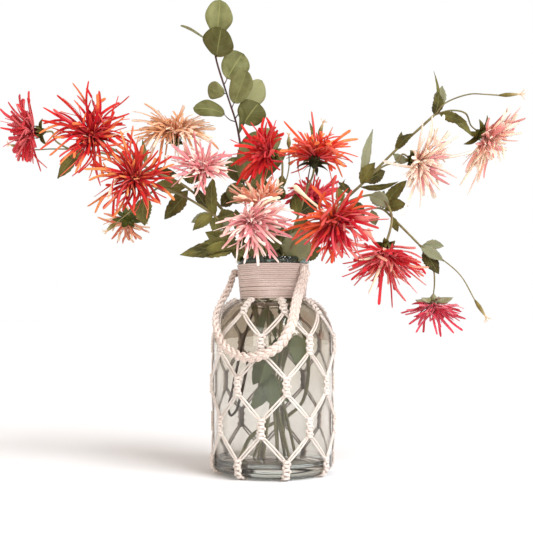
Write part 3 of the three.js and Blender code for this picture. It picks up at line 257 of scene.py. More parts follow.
class Nodes:
    """A node tree with a few short ways to add nodes."""

    def __init__(self, tree):
        self.tree = tree

    def put(self, socket, value):
        if isinstance(value, bpy.types.NodeSocket):
            self.tree.links.new(value, socket)
        else:
            socket.default_value = value

    def node(self, kind, inputs=(), **settings):
        made = self.tree.nodes.new("ShaderNode" + kind)
        for key, value in settings.items():
            setattr(made, key, value)
        for key, value in dict(inputs).items():
            self.put(made.inputs[key], value)
        return made

    def maths(self, kind, *values):
        return self.node("Math", dict(enumerate(values)), operation=kind).outputs[0]

    def times(self, value, factor, added=0.0):
        return self.maths("MULTIPLY_ADD", value, factor, added)

    def mix(self, share, a, b):
        return self.node("Mix", {0: share, 6: a, 7: b}, data_type="RGBA").outputs[2]

    def span(self, value, a, b, to=(0.0, 1.0)):
        """value brought from the range a to b to another one, and held inside it."""
        return self.node("MapRange", {0: value, 1: a, 2: b, 3: to[0], 4: to[1]}).outputs[0]

    def toward(self, colour, digits, value, a, b, to=(0.0, 1.0)):
        """The colour, mixed toward another one as value goes from a to b."""
        return self.mix(self.span(value, a, b, to), colour, hue(digits))


class Finish(Nodes):
    """A node material of a piece."""

    def __init__(self, name, **sockets):
        self.material = bpy.data.materials.new(name)
        self.material.use_nodes = True
        super().__init__(self.material.node_tree)
        self.main = self.tree.nodes["Principled BSDF"]
        for socket, value in sockets.items():
            self.main.inputs[socket.replace("_", " ").title().replace("Ior", "IOR")].default_value = value

    def grow(self):
        """How far along a point is, its tone, and 1 on an underside, or on cords its painted shade."""
        made = self.node("SeparateColor", {0: self.node("Attribute", attribute_name="grow").outputs["Color"]})
        return made.outputs[0], made.outputs[1], made.outputs[2]

    def uv(self):
        where = self.node("UVMap", uv_map="weave").outputs[0]
        made = self.node("SeparateXYZ", {0: where})
        return where, made.outputs[0], made.outputs[1]

    def place(self):
        return self.node("TexCoord").outputs["Object"]

    def height(self):
        return self.node("SeparateXYZ", {0: self.place()}).outputs[2]

    def noise(self, vector, scale, detail=2.0, rough=0.5):
        inputs = {"Vector": vector, "Scale": scale, "Detail": detail, "Roughness": rough}
        return self.node("TexNoise", inputs).outputs[0]

    def streaks(self, where, scale, *settings):
        """Noise drawn out along a piece, by its UV map."""
        return self.noise(self.node("Mapping", {"Vector": where, "Scale": scale}).outputs[0], *settings)

    def off_middle(self, across):
        """0 along the middle of a blade to 1 at both its edges."""
        return self.maths("ABSOLUTE", self.times(across, 2.0, -1.0))

    def ridges(self, value):
        return self.maths("ABSOLUTE", self.maths("SINE", value))

    def mottled(self, pale, deep, patch, a=0.35, b=0.65):
        return self.mix(self.span(patch, a, b), hue(pale), hue(deep))

    def ramp(self, value, *stops):
        made = self.node("ValToRGB", {0: value})
        ramp = made.color_ramp
        while len(ramp.elements) < len(stops):
            ramp.elements.new(0.5)
        for element, (at, colour) in zip(ramp.elements, stops):
            element.position = at
            element.color = hue(colour)
        return made.outputs[0]

    def painted_light_in_jar(self, colour, pale, share):
        """The colour, paler below the jar's neck: painted light, standing in for the light that comes in
        through the glass.
        """
        return self.toward(colour, pale, self.height(), 0.275, 0.245, (0.0, share))

    def done(self, colour, bumps, strength, distance, rough=None):
        """The material, with its colour, a bump as deep as distance millimetres, and its roughness."""
        inputs = {"Height": bumps, "Strength": strength, "Distance": distance * MM}
        self.put(self.main.inputs["Base Color"], colour)
        self.put(self.main.inputs["Normal"], self.node("Bump", inputs).outputs[0])
        if rough is not None:
            self.put(self.main.inputs["Roughness"], rough)
        return self.material


PLIES = 3.0


def cotton(name, pale, deep, shade, lay):
    """Twisted cotton cord: its strands run round it, with painted shade between them and where "grow" marks a
    cord as lying back.
    """
    f = Finish(name, roughness=0.9, sheen_weight=0.25, sheen_roughness=0.5, specular_ior_level=0.2)
    _, around, far = f.uv()
    strand = f.ridges(f.times(f.times(around, PLIES, f.times(far, lay)), pi))
    fibre = f.noise(f.place(), 1400.0, 3.0, 0.6)
    colour = f.mottled(pale, deep, f.noise(f.place(), 38.0, 3.0, 0.55), 0.35, 0.68)
    # painted shade where the third value of "grow" says the cord lies back or behind
    colour = f.toward(colour, shade, f.grow()[2], 0.0, 1.0, (0.0, 0.8))
    # painted shade in the grooves between the strands
    colour = f.toward(colour, shade, strand, 0.0, 0.5, (0.55, 0.0))
    colour = f.toward(colour, shade, fibre, 0.35, 0.8, (0.0, 0.16))
    return f.done(colour, f.times(fibre, 0.25, strand), 0.85, 0.5)


# ---------------------------------------------------------------- carrying handle
# the plait's declared width, the radius of its cords, how far its strands swing across and deep, the length
# of one round of its pattern, that of its drawn-in ends, and how far from a strand's middle its cords lie
HANDLE = {"diameter": 0.014, "strand": 2.15, "wide": 4.35, "deep": 2.9, "turn": 31.0, "end": 11, "apart": 1.6}
HANDLE_ROUTE = [
    (-59.9, 10.4, 303), (-62, 4, 288), (-67, -12, 273), (-75, -27, 256), (-83, -40, 236),
    (-81, -60, 213), (-72, -73, 194), (-58, -85, 182), (-37, -97, 175.5), (-14, -102.5, 180),
    (7.5, -102, 192), (18.5, -99, 208), (27, -92, 227), (31.5, -77, 248), (36.5, -58, 266),
    (42, -46, 281), (46.5, -41, 297), (48.15, -37.2, 309),
]


def carry_handle():
    """A plait of three doubled cords."""
    line = smooth(HANDLE_ROUTE, 1.6)
    far = distances(line)
    # the plait is drawn in where it is bound at both ends
    ends = np.interp(far, [0, HANDLE["end"], far[-1] - HANDLE["end"], far[-1]], [0.45, 1, 1, 0.45])
    # and its drawn-in ends lie against the collar
    drawn = line.copy()
    drawn[:, :2] *= (1 - 0.1 * (1 - ends))[:, None]
    _, a, b = carried(drawn)
    shape = Shape()
    for strand in range(3):
        phase = TURN * (far / HANDLE["turn"] + strand / 3)
        wobble = 1 + 0.08 * np.sin(far * 0.21 + 2 * strand)
        across = HANDLE["wide"] * np.sin(phase) * wobble * ends
        deep = HANDLE["deep"] * np.sin(2 * phase) * ends
        middle = drawn + a * across[:, None] + b * deep[:, None]
        heads = carried(middle)[0]
        for way in (-1, 1):
            # the two cords of a strand lie flat, side by side
            flat = unit(np.cross(heads, b))
            path = middle + way * HANDLE["apart"] * flat * ends[:, None]
            bar(shape, path, HANDLE["strand"] * (0.7 + 0.3 * ends), 8, 0, (0, strand / 3, 0, 1))
    material = cotton("handle_cotton", "f2e6de", "e0cdc1", "8c6a56", 0.2)
    piece = shape.made("carry_rope", [material], "cotton_cord", "carry_handle")
    rods.lay(line[::4], 7.5)


# turns of the lashing, points in a turn, rise of a turn, radius of a turn and of its cord
LASHING = {"turns": 3, "steps": 24, "rise": 2.1, "radius": 4.9, "cord": 1.05}


def handle_lashings():
    """A few turns of thin cord bind each end of the plait to the collar."""
    shape = Shape()
    for a, b in (HANDLE_ROUTE[:2], HANDLE_ROUTE[:-3:-1]):
        a, b = np.array(a, float), np.array(b, float)
        axis = unit(b - a)
        inward = unit(np.array([a[0], a[1], 0]) * -1)
        side = unit(inward - axis * np.dot(inward, axis))
        up = np.cross(axis, side)
        k = np.arange(LASHING["turns"] * LASHING["steps"] + 1)
        turn = k * TURN / LASHING["steps"]
        line = (a + 3.2 * inward + axis * (2 + LASHING["rise"] * k / LASHING["steps"])[:, None]
                + LASHING["radius"] * (side * np.cos(turn)[:, None] + up * np.sin(turn)[:, None]))
        bar(shape, line, LASHING["cord"], side=axis)
    shape.made("handle_lashings", [cotton("lash_cotton", "e0cec2", "d2bcae", "94715c", 0.3)], "cotton_cord")


carry_handle()
handle_lashings()

# ---------------------------------------------------------------- jar
JAR = {
    "radius": 88.5, "wall": 3.6, "stand": 3.6, "stand_radius": 78, "punt": 8, "floor": 11, "shoulder": 190,
    "neck": 256, "neck_radius": 46, "rim": 321, "rim_radius": 54.5, "lip": 313, "floor_radius": 72,
}
COLLAR = {"bottom": 258, "top": 312, "flare": 5, "wraps": 18, "cord": 1.44, "steps": 72}
NECK, STAND = JAR["neck_radius"], JAR["stand"]
SPAN, RISE = JAR["radius"] - NECK, JAR["neck"] - JAR["shoulder"]
CORNER = JAR["radius"] - JAR["stand_radius"]
FLOOR = STAND + JAR["floor"]


def on_glass(angle, z, lift):
    """Points off the glass, where angle 0 is the front and grows to the right."""
    angle, z, lift = np.broadcast_arrays(*[np.asarray(q, float) for q in (angle, z, lift)])
    # heights below the corner run on round it
    bend = np.clip((STAND + CORNER - z) / CORNER, 0, 1.57)
    near = lift * (1 - 0.44 * bend)
    under = (CORNER + near) * np.sin(bend)
    z, lift = np.where(bend > 0, STAND + CORNER - under, z), np.where(bend > 0, near, lift)
    rise = np.maximum(0, z - JAR["shoulder"]) / RISE
    r = NECK + SPAN * np.sqrt(np.maximum(0, 1 - rise ** 2))
    slope = unit(np.stack([(r - NECK) / SPAN ** 2, rise / RISE], -1))
    low_reach = JAR["stand_radius"] + (CORNER + lift) * np.cos(bend)
    reach = np.where(bend > 0, low_reach, r + lift * slope[..., 0])
    return np.stack([reach * np.sin(angle), -reach * np.cos(angle), z + lift * slope[..., 1]], -1)


def floor_at(x, y):
    return FLOOR + JAR["punt"] / 2 * (1 - hypot(x, y) / JAR["floor_radius"])


def rounded(profile, steps):
    """The profile with each corner cut into a smooth bend between its middle points."""
    p = np.asarray(profile, float)
    mids = (p[:-1] + p[1:]) / 2
    out = [p[0]]
    for i in range(1, len(p) - 1):
        out.extend(bent(mids[i - 1], p[i], mids[i], np.linspace(0, 1, steps)[:, None]))
    return np.array([*out, p[-1]])


def turned(shape, profile, sides=128):
    """A closed skin: the profile is turned about the jar's axis."""
    p = np.asarray(profile, float)
    turn = np.arange(sides) * TURN / sides
    rings = spiral(p[:, :1], turn, p[:, 1:])
    shape.skin(rings, np.arange(sides + 1) / sides, distances(p), (0, 0.5, 0, 1))


def shoulder(drop):
    """The shoulder's profile, that much inside the glass."""
    turn = np.radians(np.linspace(0, 86, 20))
    return list(zip(NECK - drop + SPAN * np.cos(turn), JAR["shoulder"] + (RISE - drop) * np.sin(turn)))


def glass_jar():
    middle = STAND + CORNER
    corner = [(JAR["stand_radius"] + CORNER * cos(radians(t)), middle + CORNER * sin(radians(t)))
              for t in range(-90, 1, 9)]
    top, lip, rim = COLLAR["flare"] + NECK, JAR["rim_radius"], JAR["rim"]
    wall, bottom = JAR["radius"] - JAR["wall"], COLLAR["bottom"]
    mouth = rounded([(NECK, bottom), (top - 0.6, COLLAR["top"] - 2), (lip, JAR["lip"]),
                     (lip + 0.1, rim - 1.2), (52.2, rim + 0.8), (48.2, rim - 1.4), (47.2, 306),
                     (NECK - JAR["wall"], bottom)], 7)
    inner = rounded([(wall, 60), (wall, 27), (wall - 2.5, 18), (JAR["floor_radius"] - 2, FLOOR + 0.3),
                     (30, 17.6), (0.2, FLOOR + JAR["punt"] / 2)], 6)
    outside = [(0.2, STAND + JAR["punt"]), (30, 10.6), (60, 6.4), (70, 4.2), *corner, (JAR["radius"], 60),
               (JAR["radius"], 120), *shoulder(0)]
    inside = [*reversed(shoulder(JAR["wall"])), (wall, 120), *inner]
    shape = Shape()
    turned(shape, [*outside, *mouth, *inside])
    f = Finish("clear_glass", roughness=0.015, ior=1.46, transmission_weight=1.0)
    ripple = f.noise(f.place(), 16.0, 2.0, 0.5)
    seed = f.noise(f.place(), 90.0, 1.0, 0.4)
    tint = f.mottled("eeebe6", "e8e6e1", ripple, 0.3, 0.7)
    # warmer in the shoulder, cooler in the base and greener in the lip
    for digits, a, b in (("ddd6c9", 0.11, 0.235), ("d2dad4", 0.0165, 0.012), ("7f9c96", 0.300, 0.316)):
        tint = f.toward(tint, digits, f.height(), a, b)
    material = f.done(tint, f.times(seed, 0.08, ripple), 0.25, 1.2)
    shape.made("glass_jar", [material], "clear_glass", "jar_glass")


glass_jar()
# the glass of the neck, which the petals keep clear of
for ring_height in (300, 318):
    rods.lay([(52 * cos(k * TURN / 16), 52 * sin(k * TURN / 16), ring_height) for k in range(17)], 4)


# ---------------------------------------------------------------- collar and net
def cord_collar():
    """One cord in close turns round the neck."""
    shape = Shape()
    bottom, height, cord = COLLAR["bottom"], COLLAR["top"] - COLLAR["bottom"], COLLAR["cord"]
    count = COLLAR["wraps"] * COLLAR["steps"]
    k = np.arange(count + 1)
    # twice in a turn the cord wanders a little off its height
    half_turn = COLLAR["steps"] // 2
    marks = np.arange(0, count + half_turn + 1, half_turn)
    wander = np.interp(k, marks, np.random.default_rng(5).normal(0, 0.2, len(marks)))
    z = bottom + cord + (height - 2 * cord) * k / count + wander
    rise = (z - bottom) / height
    r = NECK + 0.35 + cord + COLLAR["flare"] * rise + 0.25 * np.abs(wander)
    bar(shape, spiral(r, k * TURN / COLLAR["steps"] + 0.6, z), cord, side=(0, 0, 1))
    material = cotton("collar_cotton", "e8d5cd", "d8c2b8", "80604f", 0.22)
    shape.made("collar_cord", [material], "cotton_cord", "cord_collar")


cord_collar()

# rows: the heights of the top and foot of each sennit. bars: the height of a knot
NET = {
    "columns": 8, "turn": 11.5, "lift": 0.85, "cord": 1.4, "wide": 4.5, "deep": 6.4, "pair": 2.6,
    "rows": [(255.3, 233), (208.5, 177.5), (149.5, 118.5), (91, 59.5), (31.5, 3.6)], "bars": 5.3,
}


def down(top, bottom, share):
    """Heights at shares of the way down the glass between two heights."""
    if bottom <= JAR["shoulder"]:
        return top + (bottom - top) * share
    a, b = (asin(np.clip((z - JAR["shoulder"]) / RISE, 0, 1)) for z in (top, bottom))
    return JAR["shoulder"] + RISE * np.sin(a + (b - a) * share)


def beside(angle, z, across, lift):
    """Points over the glass, across millimetres to the right of the angle."""
    side = np.array([cos(angle), sin(angle), 0])
    return on_glass(angle, z, lift) + np.asarray(across, float)[..., None] * side


def knots(shape, angle, row, draw):
    """A sennit of square knots: one cord crosses in front of each knot, the other behind the middle cords."""
    top, bottom = row
    if bottom > JAR["shoulder"]:
        length = SPAN * abs(asin((top - JAR["shoulder"]) / RISE) - asin((bottom - JAR["shoulder"]) / RISE))
    else:
        length = top - bottom
    count = max(3, round(length / NET["bars"]))
    r = NET["cord"]
    s = np.linspace(0, count, count * 12 + 1)
    z = down(top - 0.6, bottom + 0.6, (s + 0.8 * np.sin(TURN * s) / TURN) / count)
    low_lift, high_lift = NET["lift"] + r, NET["lift"] + NET["deep"] - 1.5 * r
    swell = 1 + 0.06 * np.sin(s * 2.1 + draw.random() * 6)
    over = np.abs(np.sin(pi * s))
    tone = draw.random()
    front = low_lift + (high_lift - low_lift) * (0.25 + 0.75 * over ** 0.8)
    line = beside(angle, z, NET["wide"] * 0.8 * swell * np.cos(pi * s), front)
    # the front cord gets painted shade where it dips back between its bars
    bar(shape, line, r * (1.1 + 0.68 * over), 10, 0, painted(0, tone, 0.4 * (1 - over[:, None]) ** 1.5))
    behind = low_lift + (high_lift - low_lift) * 0.62 * (1 - over) ** 1.5
    reach = NET["wide"] * 1.1 * swell
    line = beside(angle, z, -reach * np.cos(pi * s), behind)
    # the back cord gets painted shade where it passes behind the knot
    bar(shape, line, r * (1.5 - 0.45 * over), 8, 0, painted(0, tone, 0.9 * over[:, None]))
    # the middle cords, which lie behind the knots, get painted shade
    for across in (-2.9, -1, 1, 2.9):
        zs = down(top, bottom, np.linspace(0, 1, 5))
        line = beside(angle, zs, across + 0 * zs, NET["lift"] + 1.3)
        bar(shape, line, r, 6, 0, (0, draw.random(), 0.8, 1))


def pair(shape, angle, top, far, bottom, way, draw):
    """Two cords side by side from one knot to the next one below and beside it."""
    t = np.linspace(0, 1, 13)
    r = NET["cord"]
    z = top + 2.5 + (bottom - top - 5) * t
    radius = np.linalg.norm(on_glass(0.0, z, 0)[..., :2], axis=-1)
    turn = angle + (far - angle) * t + way * NET["pair"] * (1 - 2 * t) / radius
    lift = NET["lift"] + r + 0.35 - 0.3 * np.sin(pi * t)
    middle = on_glass(turn, z, lift)
    out = unit(on_glass(turn, z, lift + 1) - middle)
    across = unit(np.cross(headings(middle), out))
    slack = 0.5 * draw.random() * np.sin(pi * t)
    for k in (-1, 1):
        apart = k * (1.4 + (0.45 + 0.25 * draw.random()) * np.sin(pi * t) ** 0.6) - slack
        bar(shape, middle + across * apart[:, None], r, 8, 0, (0, draw.random(), 0, 1))


def foot(shape, angle, draw):
    """The cords below the lowest knot: round the corner of the jar and on to the middle of its underside."""
    side = np.array([cos(angle), sin(angle), 0])
    outward = np.array([sin(angle), -cos(angle), 0])
    turns = np.radians(np.linspace(-46, -90, 5))
    lift = CORNER + NET["lift"] + 1.2
    for k, across in enumerate((-3.6, -1.2, 1.2, 3.6)):
        r = np.concatenate([JAR["stand_radius"] + lift * np.cos(turns), [60, 40, 20, 11.5]])
        z = np.concatenate([STAND + CORNER + lift * np.sin(turns), [1.45, 1.45, 1.45, 1.45]])
        splay = across * np.interp(r, [10, 60, 85, 91], [0.45, 0.9, 1.15, 1.0])
        line = outward * r[:, None] + side * splay[:, None] + np.array([0, 0, 1]) * z[:, None]
        bar(shape, smooth(line, 3.0), 1.4 if k % 2 else 1.35, 8, 1, (0, draw.random(), 0, 1))


# the flat coil under the base: its turns, points in a turn, inner radius, growth, height and thickness
COIL = {"turns": 3, "steps": 40, "inner": 1.5, "grows": 10.0, "height": 2.45, "cord": 2.4}


def macrame_net():
    draw = np.random.default_rng(11)
    shape = Shape()
    step = TURN / NET["columns"]
    for r, row in enumerate(NET["rows"]):
        for c in range(NET["columns"]):
            angle = radians(NET["turn"]) + (c + (r % 2) / 2) * step
            knots(shape, angle, row, draw)
            if r + 1 == len(NET["rows"]):
                foot(shape, angle, draw)
                continue
            for way in (-1, 1):
                pair(shape, angle, row[1], angle + way * step / 2, NET["rows"][r + 1][0], way, draw)
    k = np.arange(0, COIL["turns"] * COIL["steps"] + 1)
    out = COIL["inner"] + COIL["grows"] * k / k[-1]
    coil = spiral(out, k * TURN / COIL["steps"], COIL["height"])
    bar(shape, coil, COIL["cord"], 8, 1, side=(0, 0, 1))
    # the cords round the foot and under the base take a darker copy of the net's cotton: painted shade
    looks = [cotton("net_cotton", "f2ebe5", "e4d9d0", "a08474", 0.3),
             cotton("shaded_base_cotton", "e2d6cc", "d2c2b4", "8c7462", 0.3)]
    shape.made("cord_net", looks, "cotton_cord", "macrame_net")


macrame_net()

# ---------------------------------------------------------------- leaves
LEAVES = {
    # share of the way to the tip where the blade is widest, how blunt it is, teeth a side, cup, arch, rows
    "leaf": (0.40, 0.84, 7, 0.16, 0.08, 29),
    "small": (0.42, 0.9, 5, 0.16, 0.08, 21),
    "round": (0.56, 0.52, 0, 0.10, 0.06, 21),
}
ACROSS = np.array([-1, -0.66, -0.33, -0.1, 0.1, 0.33, 0.66, 1])
OUT = np.abs(ACROSS)
IN_MIDDLE = OUT < 0.2
AT_EDGE = OUT > 0.9


def blade_frame(root, tip, roll):
    """The axis of a leaf, the way its upper side faces, and the direction across it."""
    axis = unit(tip - root)
    front = np.array([0.05, -1, 0.12])
    face = rotate(unit(front - axis * np.dot(front, axis)), axis, radians(roll))
    return axis, face, unit(np.cross(axis, face))


def half_width(kind, t):
    widest, blunt = LEAVES[kind][:2]
    warped = np.where(t < widest, 0.5 * t / widest, 0.5 + 0.5 * (t - widest) / (1 - widest))
    return np.sin(pi * np.clip(warped, 0.0, 1.0)) ** blunt


def blade(shape, kind, root, tip, width, roll, stalk, draw, tone):
    """A thin leaf on its stalk, with a raised midrib, side veins and teeth along both edges."""
    axis, face, side = blade_frame(root, tip, roll)
    length = float(np.linalg.norm(tip - root))
    _, _, teeth, cup, arch, rows = LEAVES[kind]
    wide, thick = (1.06, 0.42) if kind == "round" else (1.2, 0.34)
    start = min(0.4, stalk / length)
    t = np.linspace(0, 1, rows)
    half = width / 2 * wide * np.maximum(half_width(kind, t), 0.03)
    if kind == "round":
        half = half * (1 + 0.05 * np.sin(t * 9 + draw.random() * 6))
    tooth = (t * (teeth + 0.5)) % 1.0 if teeth else np.zeros(rows)
    waves = (11, 10) if teeth else (7, 6)
    wave = cup * width / 2
    phase, bend = draw.random() * 6, draw.normal(0, 0.05)
    u = start + t * (1 - start)
    spine = (root + axis * (u * length)[:, None]
             + face * (arch * length * np.sin(pi * u) * (1 + 0.4 * draw.normal()))[:, None]
             + side * (bend * length * np.sin(pi * u))[:, None])
    rings = []
    for j in range(rows):
        edge = half[j] * (1 - 0.15 * tooth[j])
        ripple = wave * (0.55 + 0.45 * sin(phase + t[j] * waves[0]))
        other = wave * (0.55 + 0.45 * sin(phase + 2 + t[j] * waves[1]))
        x = ACROSS * np.where(AT_EDGE, edge, half[j] * 0.97)
        swept = AT_EDGE * (0.02 * length * (1 - tooth[j]) if teeth else 0)
        lift = np.where(ACROSS > 0, ripple, other) * OUT ** 1.6
        vein = 0.22 * np.cos(TURN * (t[j] * 6 - 1.4 * OUT)) * OUT * (1 - OUT) * width / 12
        groove = np.where(IN_MIDDLE, -0.012 * width, 0.0)
        top = (spine[j] + side * x[:, None] + face * (lift + vein + groove + thick / 2)[:, None]
               - axis * swept[:, None] * 0.5)
        rib = np.where(IN_MIDDLE, 0.35, 0.0) * (1 - 0.6 * t[j])
        under = top - face * (thick * (1 - 0.5 * OUT) + rib - groove)[:, None]
        rings.append(np.vstack([top, under[::-1]]))
    across = (ACROSS + 1) / 2
    around = np.concatenate([across, across[::-1], across[:1]])
    below = np.repeat([0, 1], len(ACROSS))
    shape.skin(rings, around, t, painted(t[:, None], tone, below), LEAF)
    if stalk > 0.5:
        stem = smooth([root, root + axis * stalk * 0.5 + face * 0.4, spine[1]], 2.0)
        bar(shape, stem, np.linspace(1.0, 0.6, len(stem)), 6, STEM, (0.2, tone, 0, 1))


def leaf_rods(kind, root, tip, width, roll, stalk):
    """Three lines along a leaf, which later petals keep clear of."""
    axis, face, side = blade_frame(root, tip, roll)
    length = float(np.linalg.norm(tip - root))
    start = stalk / length
    out = []
    for across in (-0.62, 0, 0.62):
        line = []
        for t, share in ((0, 0.4), (0.35, 1), (0.66, 0.85), (0.97, 0.2)):
            u = start + t * (1 - start)
            line.append(root + axis * u * length + side * (across * share * width / 2)
                        + face * LEAVES[kind][4] * length * sin(pi * u))
        out.append(line)
    return out


# ---------------------------------------------------------------- the arrangement
# at, face, reach: the middle of a head, the way it faces and how far its petals reach. tipped: the share of
# its petals with coloured tips. sepals: how many, their reach, and 1 where they lie flat. hues: its core, the
# foot, middle, tip and underside of a petal, and that of its odd petals. habit: how its inner petals grow, to
# one of the usual: how many, width, lean and reach, and where they sweep. plain_side: where its plain petals
# point, away from its odd ones, and their usual tone. short_side: where its petals stay short. tips: its
# outer petals as seen from the front, each as the angle it points at and its reach, and for some the tone,
# near 1 where the tip is plainly pale or orange and near 0 where it is plain, and the width of the tip.
BLOOMS = {
    "bloom_01": dict(
        at=(-356, -10, 508), face=(-0.85, -0.45, -0.1), reach=58, slot="crimson", tipped=0.3,
        hues="480410 9c1424 c01c2c d04444 e48484 d44c54", habit=(1.35, 1.5, 0.82, 1.05, (0.05, 0, -0.2)),
        sepals=(5, 21, 0), tips="110,59 95,61 130,60 145,62 165,51 180,42 215,48 245,47 280,60 290,57 85,36"),
    "bloom_02": dict(
        at=(-260, -60, 491), face=(0.02, -1, 0.1), reach=80, slot="red", tipped=0.42,
        hues="380408 a00c1c c41c28 e4804c d85c60 d83828",
        tips="""110,83,0.97 90,76,0.2 72,53,0.8 50,81,0.1 20,57,0.95 5,42,0.9 150,77 165,65 182,69,0.97 197,77
            212,61,0.96 235,74,0.9 255,60 290,67 345,40 130,68,0.3"""),
    "bloom_03": dict(
        at=(-196, -85, 427), face=(0.1, -1, 0.05), reach=74, slot="red", tipped=0.42,
        hues="400408 a01018 c02028 dc8c54 d0605c c83828",
        tips="""90,72,0.85 104,63,0.9 125,57,0.3 40,40,0.9 5,46 318,59 300,49 275,50 250,52 230,61,0.9
            210,78,0.97 220,74,0.85 172,63,0.97 187,58,0.9 150,53,0.9 65,44"""),
    "bloom_04": dict(
        at=(-152, 52, 514), face=(0.05, -0.2, 0.97), reach=72, slot="peach", tipped=0.6,
        hues="d05c44 e4886c f0b898 f8e0c8 f0c8ac e0a068", habit=(1.75, 1.05, 1, 1, (0, -0.15, -0.12)),
        plain_side=((0.8, 0, -0.5), 0.55),
        tips="""160,72 150,77 135,62 110,40 65,42 30,50 15,59 0,52 195,53 210,46 250,47 172,71 342,71 90,44
            222,52 236,44 270,40 292,44 310,50 326,58 204,58 184,62 352,62 280,34"""),
    "bloom_05": dict(
        at=(-105, -38, 446), face=(0, -0.75, 0.65), reach=60, slot="pink", tipped=0.85,
        hues="d86460 dc5868 e89c9c f4ecdc ecc0b8 e88890", habit=(1.1, 1, 1, 1, (0, 0, 0.05)),
        tips="100,54 120,60 140,55 160,57 200,42 220,38 260,43 280,41 22,50 10,46 340,46 325,46 65,44"),
    "bloom_06": dict(
        at=(-219, 2, 378), face=(-0.3, 0.85, -0.4), reach=44, slot="apricot", tipped=0.6, small=True,
        hues="b03020 cc6044 e4b48c f4e4c4 e8b494 cc4c38", sepals=(8, 24, 0),
        tips="175,44 163,40 225,38 242,38 280,32 335,34 305,32 355,28 140,30"),
    "bloom_07": dict(
        at=(-7, -24, 473), face=(-0.72, -0.65, 0.25), reach=60, slot="red", tipped=0.3,
        hues="480808 a80c1c c81c28 e0604c e05c64 e0382c", habit=(0.95, 1.45, 1, 1.05, (-0.2, 0, 0.05)),
        short_side=(0.95, 0, -0.3),
        tips="160,60 172,50 185,54 198,60 225,66 135,56 122,48 75,44 340,24 300,34 280,44 262,55 238,54"),
    "bloom_08": dict(
        at=(-32, -108, 364), face=(0.1, -0.9, 0.15), reach=66, slot="pink", tipped=0.9,
        hues="b0203c dc6478 ecb0a8 f4ece0 ecc8bc e4808c", habit=(1.1, 1, 1, 1.05, (0.15, 0, -0.45)),
        short_side=(-0.55, 0, 0.83),
        tips="""197,52 225,55 250,62 262,60 280,63 305,69 292,54 318,46 350,50 0,52 12,62 338,63 100,22 35,50
            212,42 184,48"""),
    "bloom_09": dict(
        at=(-18, -22, 393), face=(-0.15, -0.3, 0.94), reach=48, slot="peach", tipped=0.7, small=True,
        hues="d8583c e87860 f0a890 f8d8bc f0b098 ec8860", habit=(1.7, 1.05, 0.85, 1.35, (-0.05, -0.2, 0.3)),
        tips="118,44 98,44 70,34 45,34 172,52 158,45 136,38 22,32"),
    "bloom_10": dict(
        at=(64, 20, 474), face=(0.1, 0.25, 0.96), reach=70, slot="red", tipped=0.4, sepals=(7, 26, 0),
        hues="600c0c c0141c e43c2c fc9860 f46c70 f86830", habit=(1.3, 1.2, 1, 1, (0, -0.15, 0)),
        tips="""130,74,0.3 115,54 95,66 75,48 58,44 44,54,0.9 36,66,0.9 24,72,0.97 0,64,0.6 325,51 300,54
            185,38 165,38"""),
    "bloom_11": dict(
        at=(65, 74, 416), face=(0, -0.35, 0.93), reach=44, slot="crimson", tipped=0.25, small=True,
        hues="981424 d8243c f44858 f88070 f88090 f44858", habit=(1.9, 1.5, 1, 1.45, (-0.45, -0.55, -0.35)),
        tips="155,42 138,40 120,38 100,36 80,35 60,34 45,36 25,35 180,44"),
    "bloom_12": dict(
        at=(84, -108, 367), face=(0.1, -0.88, -0.45), reach=76, slot="red", tipped=0.12,
        hues="100404 98081c c41c2c ec988c e0606c ec6c38", habit=(1.15, 1.15, 1, 1, (-0.05, 0, -0.25)),
        plain_side=((0.8, 0, -0.45), 0.55),
        tips="""140,73,1,9.5 193,85,0.05 215,68,0.12 235,72,0.9 250,58,0.85 270,56,0.8 305,70,0.9 12,55,0.85
            345,60,0.8 45,49,0.2 60,40,0.1 0,77,0.9,6 288,58,0.8 325,52,0.8"""),
    "bloom_13": dict(
        at=(162, -62, 327), face=(-0.1, -0.35, -0.92), reach=78, slot="red", tipped=0.2,
        hues="480408 c42c38 d02c38 f0b098 e89090 dc3c44", habit=(1.3, 1.15, 0.8, 1, (0, 0, 0)),
        tips="""210,74 195,62 245,69,1,9 262,78 276,82 320,77,0.8 334,60 350,40,0.3 140,42,0.95,7.5 168,46,0.6
            290,77,0.2 228,66 304,74"""),
    "bloom_14": dict(
        at=(215, -8, 465), face=(0.7, -0.5, -0.45), reach=76, slot="peach", tipped=0.8,
        hues="dc5078 f0ac98 f4d8c0 fcf4e4 f8e0d0 f08ca0", habit=(1.15, 1.3, 1, 1, (0.1, 0, -0.15)),
        plain_side=((-0.9, 0, 0.3), 0.8), short_side=(-0.8, 0, -0.3),
        tips="""90,52,0.9 75,62,0.9 60,80,0.95,5.5 30,66,0.8 10,84,0.8 330,62,0.3 300,56,0.8 282,65,0.9
            270,73,0.85 255,82,0.9 180,51,0.9 235,40,0.9 315,58,0.2"""),
    "bloom_15": dict(
        at=(327, 40, 510), face=(0.68, -0.25, -0.66), reach=70, slot="peach", tipped=0.8, sepals=(7, 27, 0),
        hues="e47078 f4a898 f8d0b4 fcf4e0 f8dcc4 f49098", habit=(1.15, 1.6, 0.95, 1.05, (0, 0, 0)),
        tips="40,65 20,58 0,46 318,46 282,50 265,68 255,96 243,84 230,62 275,60 340,42"),
    "bloom_16": dict(
        at=(245, 22, 252), face=(0.02, -0.1, -1), reach=54, slot="crimson", tipped=0.3, small=True,
        hues="e07884 f4a8b0 c82440 b81030 e88c98 dc4860", habit=(1.5, 1.1, 0.98, 1.05, (0, -0.1, 0)),
        sepals=(6, 30, 1), tips="198,50 222,48 236,52 252,45 270,46 285,52 303,53 318,60 334,51 346,47"),
}
